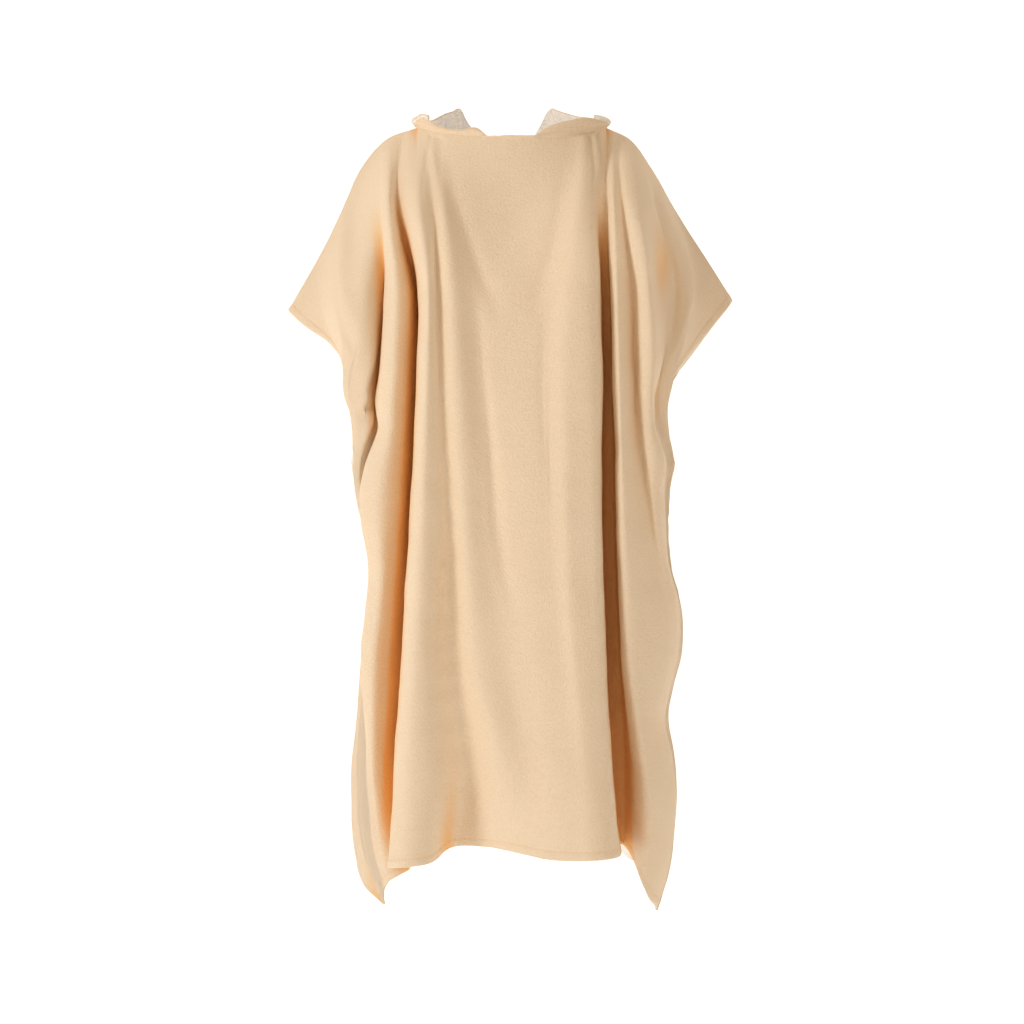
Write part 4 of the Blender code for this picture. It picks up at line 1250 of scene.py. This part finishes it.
def yarn_material(name, low, high, sheen):
    """Twisted yarn, for the stitches and for the loops that stand free."""
    material, shader, maker = new_material(name, sheen, (1.0, 0.95, 0.88))
    coords = maker.wire("ShaderNodeTexCoord", {}, {}, "Object")
    twist = scattered(maker, coords, TWIST)
    maker.feed(shader, {"Base Color": maker.mix(twist, (*low, 1.0), (*high, 1.0))})
    shader.inputs["Roughness"].default_value = 0.8
    return material


def finishes(context):
    """The piece finishes, made once and then shared."""
    finish = context.scene.poncho_finish
    makers = {
        "peach_face": lambda: peach_material(finish),
        "terry_face": lambda: terry_material(finish),
        "peach_thread": lambda: yarn_material("peach_thread", finish.peach_low, finish.peach, 0.1),
        "terry_yarn": lambda: yarn_material("terry_yarn", finish.terry_low, finish.terry, 0.2),
    }
    return {name: bpy.data.materials.get(name) or make() for name, make in makers.items()}


# Properties
def length(name, description, default, low, high):
    return FloatProperty(name=name, description=description, default=default, min=low, max=high,
                         precision=4, unit="LENGTH")


def factor(name, description, default, high):
    return FloatProperty(name=name, description=description, default=default, min=0.0, max=high,
                         subtype="FACTOR")


def colour(name, description, default):
    return FloatVectorProperty(name=name, description=description, default=default, min=0.0, max=1.0,
                               size=3, subtype="COLOR")


class PonchoCloth(bpy.types.PropertyGroup):
    thickness: length("Cloth thickness", "Thickness of the towelling", 0.0022, 0.001, 0.004)
    hem_width: length("Hem width", "How wide the turned hems are", 0.0118, 0.006, 0.03)
    neck_turn: length(
        "Neck edge width", "How wide the turned edge of the front neckline is", 0.0060, 0.003, 0.02)
    turned_rise: length(
        "Turned edge rise", "How far a turned edge stands out on the outer face", 0.0006, 0.0, 0.002)
    seam_allowance: length(
        "Side seam stitching", "Distance from the side seam to its row of stitches", 0.0060, 0.003, 0.02)
    pucker: length("Pucker height", "How far the sewn edges pucker in and out", 0.0013, 0.0, 0.004)
    stitch_pitch: length("Stitch pitch", "Distance from one stitch to the next", 0.0036, 0.002, 0.008)
    stitch_length: length("Stitch length", "Length of one stitch that shows", 0.0027, 0.001, 0.006)
    thread: length("Thread width", "Width of the sewing thread", 0.0007, 0.0002, 0.002)
    loop_radius: length("Terry loop radius", "Radius of one loop of the terry pile", 0.0011, 0.0005, 0.003)
    loop_density: FloatProperty(
        name="Terry loop density", description="Free loops to a square metre along the hood's edge",
        default=150000.0, min=1000.0, max=400000.0)
    seed: IntProperty(name="Seed", description="Seed of the scattered loops", default=4, min=0)


class PonchoFinish(bpy.types.PropertyGroup):
    peach: colour("Peach", "The woven face where it is lightest", (0.96, 0.83, 0.67))
    peach_low: colour("Peach between threads", "The woven face between its threads", (0.90, 0.73, 0.53))
    # Painted shade: the colour the woven face is mixed toward in the folds and along the sunk hem line
    painted_shade_colour: colour("Peach in folds", "The woven face deep in the folds", (0.99, 0.56, 0.20))
    terry: colour("Terry", "The loops of the inner face", (0.97, 0.93, 0.87))
    # The colour of the shade painted between the terry loops; the terry yarn uses it as its darker random
    # tone
    terry_low: colour("Terry between loops", "The ground between the loops", (0.86, 0.78, 0.69))
    # Painted light: a glow on the terry face, though no lamp is in it
    terry_painted_glow: factor("Terry glow", "The light that passes through the open loops", 0.22, 1.0)
    # Painted shade: how strongly shade is painted into the folds
    painted_fold_shade_strength: factor("Fold tint", "How strongly the folds deepen in colour", 0.85, 2.0)
    # Painted shade along the sunk hem line: where it lies and how soft it is
    seam_place: length("Hem line place", "How far from the edge the sewn hem sinks in", 0.0110, 0.0, 0.03)
    seam_blur: length(
        "Hem line softness", "Half the width of the shade along a sewn hem", 0.0016, 0.0002, 0.01)
    sheen: factor("Sheen", "Soft sheen of the nap", 0.12, 1.0)
    rib_pitch: length("Rib pitch", "Distance between the crosswise ribs", 0.0031, 0.001, 0.01)
    warp_pitch: length("Warp pitch", "Distance between the lengthwise threads", 0.0017, 0.0005, 0.01)


# Operators


class PONCHO_OT_stage(bpy.types.Operator):
    """Lay the pale floor and backdrop, and set the lights and the camera"""

    bl_idname = "poncho.stage"
    bl_label = "Stage"

    def execute(self, context):
        add_object("backdrop", self.backdrop_mesh(), [self.paper()])
        for row in LAMPS:
            lamp = bpy.data.lights.new(row.name, "AREA")
            lamp.shape = "DISK"
            lamp.size = row.size
            lamp.energy = row.power
            lamp.color = row.colour
            holder = bpy.data.objects.new(row.name, lamp)
            holder.location = row.place
            facing = Vector(row.aim) - Vector(row.place)
            holder.rotation_euler = facing.to_track_quat("-Z", "Y").to_euler()
            context.scene.collection.objects.link(holder)
        world = bpy.data.worlds.new("studio")
        world.use_nodes = True
        background = world.node_tree.nodes["Background"]
        background.inputs["Color"].default_value = WORLD_COLOUR
        background.inputs["Strength"].default_value = WORLD_STRENGTH
        context.scene.world = world
        context.scene.view_settings.view_transform = "Standard"
        lens = bpy.data.cameras.new("camera")
        lens.sensor_width = SENSOR
        lens.lens = LENS
        camera = bpy.data.objects.new("camera", lens)
        camera.location = CAMERA_PLACE
        camera.rotation_euler = (math.pi / 2, 0.0, 0.0)
        context.scene.collection.objects.link(camera)
        context.scene.camera = camera
        return {"FINISHED"}

    def backdrop_mesh(self):
        """The floor, the round corner behind it and the wall, as one strip."""
        bend = WALL_PLACE - CORNER_RADIUS
        profile = [(STAGE_NEAR, FLOOR_HEIGHT), (bend, FLOOR_HEIGHT)]
        for step in range(1, CORNER_STEPS + 1):
            angle = math.radians(90 * step / CORNER_STEPS)
            profile.append((bend + CORNER_RADIUS * math.sin(angle),
                            FLOOR_HEIGHT + CORNER_RADIUS * (1 - math.cos(angle))))
        profile.append((WALL_PLACE, WALL_TOP))
        points = [(x, y, z) for y, z in profile for x in (-STAGE_HALF_WIDTH, STAGE_HALF_WIDTH)]
        faces = [(2 * k, 2 * k + 1, 2 * k + 3, 2 * k + 2) for k in range(len(profile) - 1)]
        mesh = bpy.data.meshes.new("backdrop")
        mesh.from_pydata(points, [], faces)
        mesh.shade_smooth()
        return mesh

    def paper(self):
        """Matt pale paper that glows a little more behind than in front."""
        paper = bpy.data.materials.new("paper")
        paper.use_nodes = True
        shader = paper.node_tree.nodes["Principled BSDF"]
        for title, value in (("Base Color", PAPER), ("Roughness", 1.0), ("Specular IOR Level", 0.0),
                             ("Emission Strength", 1.0)):
            shader.inputs[title].default_value = value
        maker = NodeMaker(paper.node_tree)
        place = maker.wire("ShaderNodeTexCoord", {}, {}, "Object")
        depth = maker.wire("ShaderNodeSeparateXYZ", {}, {"Vector": place}, "Y")
        behind = (depth * PAPER_GLOW_RISE).clipped()
        maker.feed(shader, {"Emission Color": maker.mix(behind, PAPER_GLOW_NEAR, PAPER_GLOW_FAR)})
        return paper


class PONCHO_OT_panels(bpy.types.Operator):
    """Cut, drape and hem the front and back panels, with their rows of stitches"""

    bl_idname = "poncho.panels"
    bl_label = "Front and back panels"

    def execute(self, context):
        cloth = context.scene.poncho_cloth
        finish = finishes(context)
        tree = stitch_tree()
        for panel in panel_pair(cloth):
            piece = cloth_piece(panel.name + "_cloth", panel_shell(panel, cloth), finish)
            sewn = sew(panel.name + "_stitches", stitch_lines(panel, cloth), tree, cloth, finish)
            settle(piece, (panel.name + "_panel",))
            settle(sewn)
        return {"FINISHED"}


class PONCHO_OT_band(bpy.types.Operator):
    """Sew the narrow neck band round the neck"""

    bl_idname = "poncho.band"
    bl_label = "Neck band"

    def execute(self, context):
        cloth = context.scene.poncho_cloth
        finish = finishes(context)
        turns = np.arange(CORNER_TURN, 180.0 + SHARED, BAND_TURN_STEP)
        ring = [(turn, -1) for turn in turns] + [(turn, 1) for turn in turns[-2::-1]]
        surface = np.empty((BAND_ROWS, len(ring), 3))
        normals = np.empty_like(surface)
        shares = np.linspace(0, 1, BAND_ROWS)[:, None]
        for column, (turn, side) in enumerate(ring):
            out, outward, down = neck_outward(turn, side)
            foot = neck_point(turn, side) - down * BAND_OVERLAP
            first, second = (math.sin(turn * wave) for wave in BULGE_WAVES)
            bulge = BAND_BULGE * (1 + BULGE_CHANGE * first * second)
            bulged = np.sin(math.pi * shares) * out * bulge
            surface[:, column] = foot + shares * (band_top(turn, side) - foot) + bulged
            normals[:, column] = unit((1 - shares) * outward + shares * out)
        across, down = lengths_along(surface, 1), lengths_along(surface, 0)
        tuck = rumple(np.dstack((across, down * 0, down * 0)), BAND_TUCKS)
        surface += normals * (tuck * hump(shares, 0.0, BAND_TUCK_REACH) * BAND_TUCKS.height)[..., None]
        outer = cloth.thickness / 2 - line_along(down, BAND_STITCH_PLACE, BAND_GROOVE)
        inner = np.full_like(outer, cloth.thickness / 2)
        mesh = grid_shell("band_cloth", surface, normals, outer, inner,
                          {"fold": across * 0, "edge": down}, np.dstack((across, down)))
        piece = cloth_piece("band_cloth", mesh, finish)
        face = surface + normals * (outer + cloth.thread * THREAD_SUNK)[..., None]
        row = line_on(face, down, BAND_STITCH_PLACE, 0, np.ones(down.shape, bool))
        sewn = sew("band_stitches", runs_of(row), stitch_tree(), cloth, finish)
        settle(piece, ("neck_band",))
        settle(sewn)
        return {"FINISHED"}


class PONCHO_OT_hood(bpy.types.Operator):
    """Hang the two hood halves as an open pouch down the back, terry inside"""

    bl_idname = "poncho.hood"
    bl_label = "Hood"

    def execute(self, context):
        cloth = context.scene.poncho_cloth
        finish = finishes(context)
        places = np.linspace(0, 1, HOOD_PLACES)
        turns = np.arange(HOOD_SECTIONS[0].turn, 180.0 + SHARED, HOOD_TURN_STEP)
        loops = loop_tree()
        for name, side in (("hood_left", -1), ("hood_right", 1)):
            surface = np.array([hood_section(turn, side, places) for turn in turns]).transpose(1, 0, 2)
            normals = surface_normals(surface) * side
            normals[:, -1, 0] = 0.0
            normals = unit(normals)
            down, across = lengths_along(surface, 0), lengths_along(surface, 1)
            edge = down[-1:] - down
            held = smooth_step(*HOOD_SEAM_HELD, across[:, -1:] - across) * smooth_step(*HOOD_FOOT_HELD, down)
            moved = rumpled(surface, HOOD_RUMPLES, side)
            moved += smooth_step(*HOOD_EDGE_FREE, edge) * rumple(
                surface, HOOD_EDGE_RUMPLE) * HOOD_EDGE_RUMPLE.height
            surface = surface + normals * (moved * held)[..., None]
            turned = smooth_step(*HOOD_TURNED, edge)
            outer = cloth.thickness / 2 + turned * HOOD_RISE - line_along(edge, HOOD_TURNED[1], HOOD_GROOVE)
            inner = cloth.thickness / 2 + turned * HOOD_INNER_RISE
            mesh = grid_shell(name + "_cloth", surface, normals, outer, inner,
                              {"fold": across * 0, "edge": edge}, np.dstack((across, down)))
            near_front = np.broadcast_to(turns < HOOD_FRONT_TURN, down.shape)
            quads = near_front[:-1, :-1].ravel()
            slots = np.empty(len(mesh.polygons), int)
            mesh.polygons.foreach_get("material_index", slots)
            slots[:len(quads)][quads] = 1
            mesh.polygons.foreach_set("material_index", slots)
            piece = cloth_piece(name + "_cloth", mesh, finish)
            patch = self.edge_patch(surface, normals, inner, outer, edge, near_front)
            yarn = finish["terry_yarn"]
            pile = grown(name + "_pile", patch, loops, {
                "Density": cloth.loop_density, "Loop Radius": cloth.loop_radius,
                "Yarn Radius": cloth.loop_radius * YARN_SHARE, "Seed": cloth.seed + side,
                "Material": yarn}, yarn)
            settle(piece, (name,))
            settle(pile)
        return {"FINISHED"}

    def edge_patch(self, surface, normals, inner, outer, edge, near_front):
        """The terry near the face edge, as an open patch for the free loops."""
        rows, columns = edge.shape
        index = np.arange(rows * columns).reshape(rows, columns)
        inside = surface - normals * inner[..., None]
        outside = surface + normals * outer[..., None]
        points = np.vstack((inside.reshape(-1, 3), outside.reshape(-1, 3)))
        a, b = index[:-1, :-1], index[:-1, 1:]
        c, d = index[1:, 1:], index[1:, :-1]
        near = edge[:-1, :-1] < PILE_REACH
        front = near_front[:-1, :-1] & near
        faces = np.column_stack((a[near], d[near], c[near], b[near])).tolist()
        faces += (np.column_stack((a[front], b[front], c[front], d[front])) + rows * columns).tolist()
        mesh = bpy.data.meshes.new("patch")
        mesh.from_pydata(points.tolist(), [], faces)
        first = mesh.polygons[0]
        if first.normal.dot(Vector(-normals[:-1, :-1][near][0])) < 0:
            mesh.flip_normals()
        return mesh


class PONCHO_PT_panel(bpy.types.Panel):
    """Sizes, finishes and pieces of the poncho"""

    bl_idname = "PONCHO_PT_panel"
    bl_label = "Hooded bath poncho"
    bl_space_type = "VIEW_3D"
    bl_region_type = "UI"
    bl_category = "Poncho"

    def draw(self, context):
        layout = self.layout
        for group in (context.scene.poncho_cloth, context.scene.poncho_finish):
            column = layout.column()
            for title in group.bl_rna.properties.keys():
                if title not in ("rna_type", "name"):
                    column.prop(group, title)
        for operator in OPERATORS:
            layout.operator(operator.bl_idname)


OPERATORS = (PONCHO_OT_stage, PONCHO_OT_panels, PONCHO_OT_band, PONCHO_OT_hood)
CLASSES = (PonchoCloth, PonchoFinish, *OPERATORS, PONCHO_PT_panel)


def register():
    for made in CLASSES:
        bpy.utils.register_class(made)
    bpy.types.Scene.poncho_cloth = PointerProperty(type=PonchoCloth)
    bpy.types.Scene.poncho_finish = PointerProperty(type=PonchoFinish)


def unregister():
    del bpy.types.Scene.poncho_finish
    del bpy.types.Scene.poncho_cloth
    for made in reversed(CLASSES):
        bpy.utils.unregister_class(made)


def main():
    register()
    bpy.ops.poncho.stage()
    bpy.ops.poncho.panels()
    bpy.ops.poncho.band()
    bpy.ops.poncho.hood()


if __name__ == "__main__":
    main()
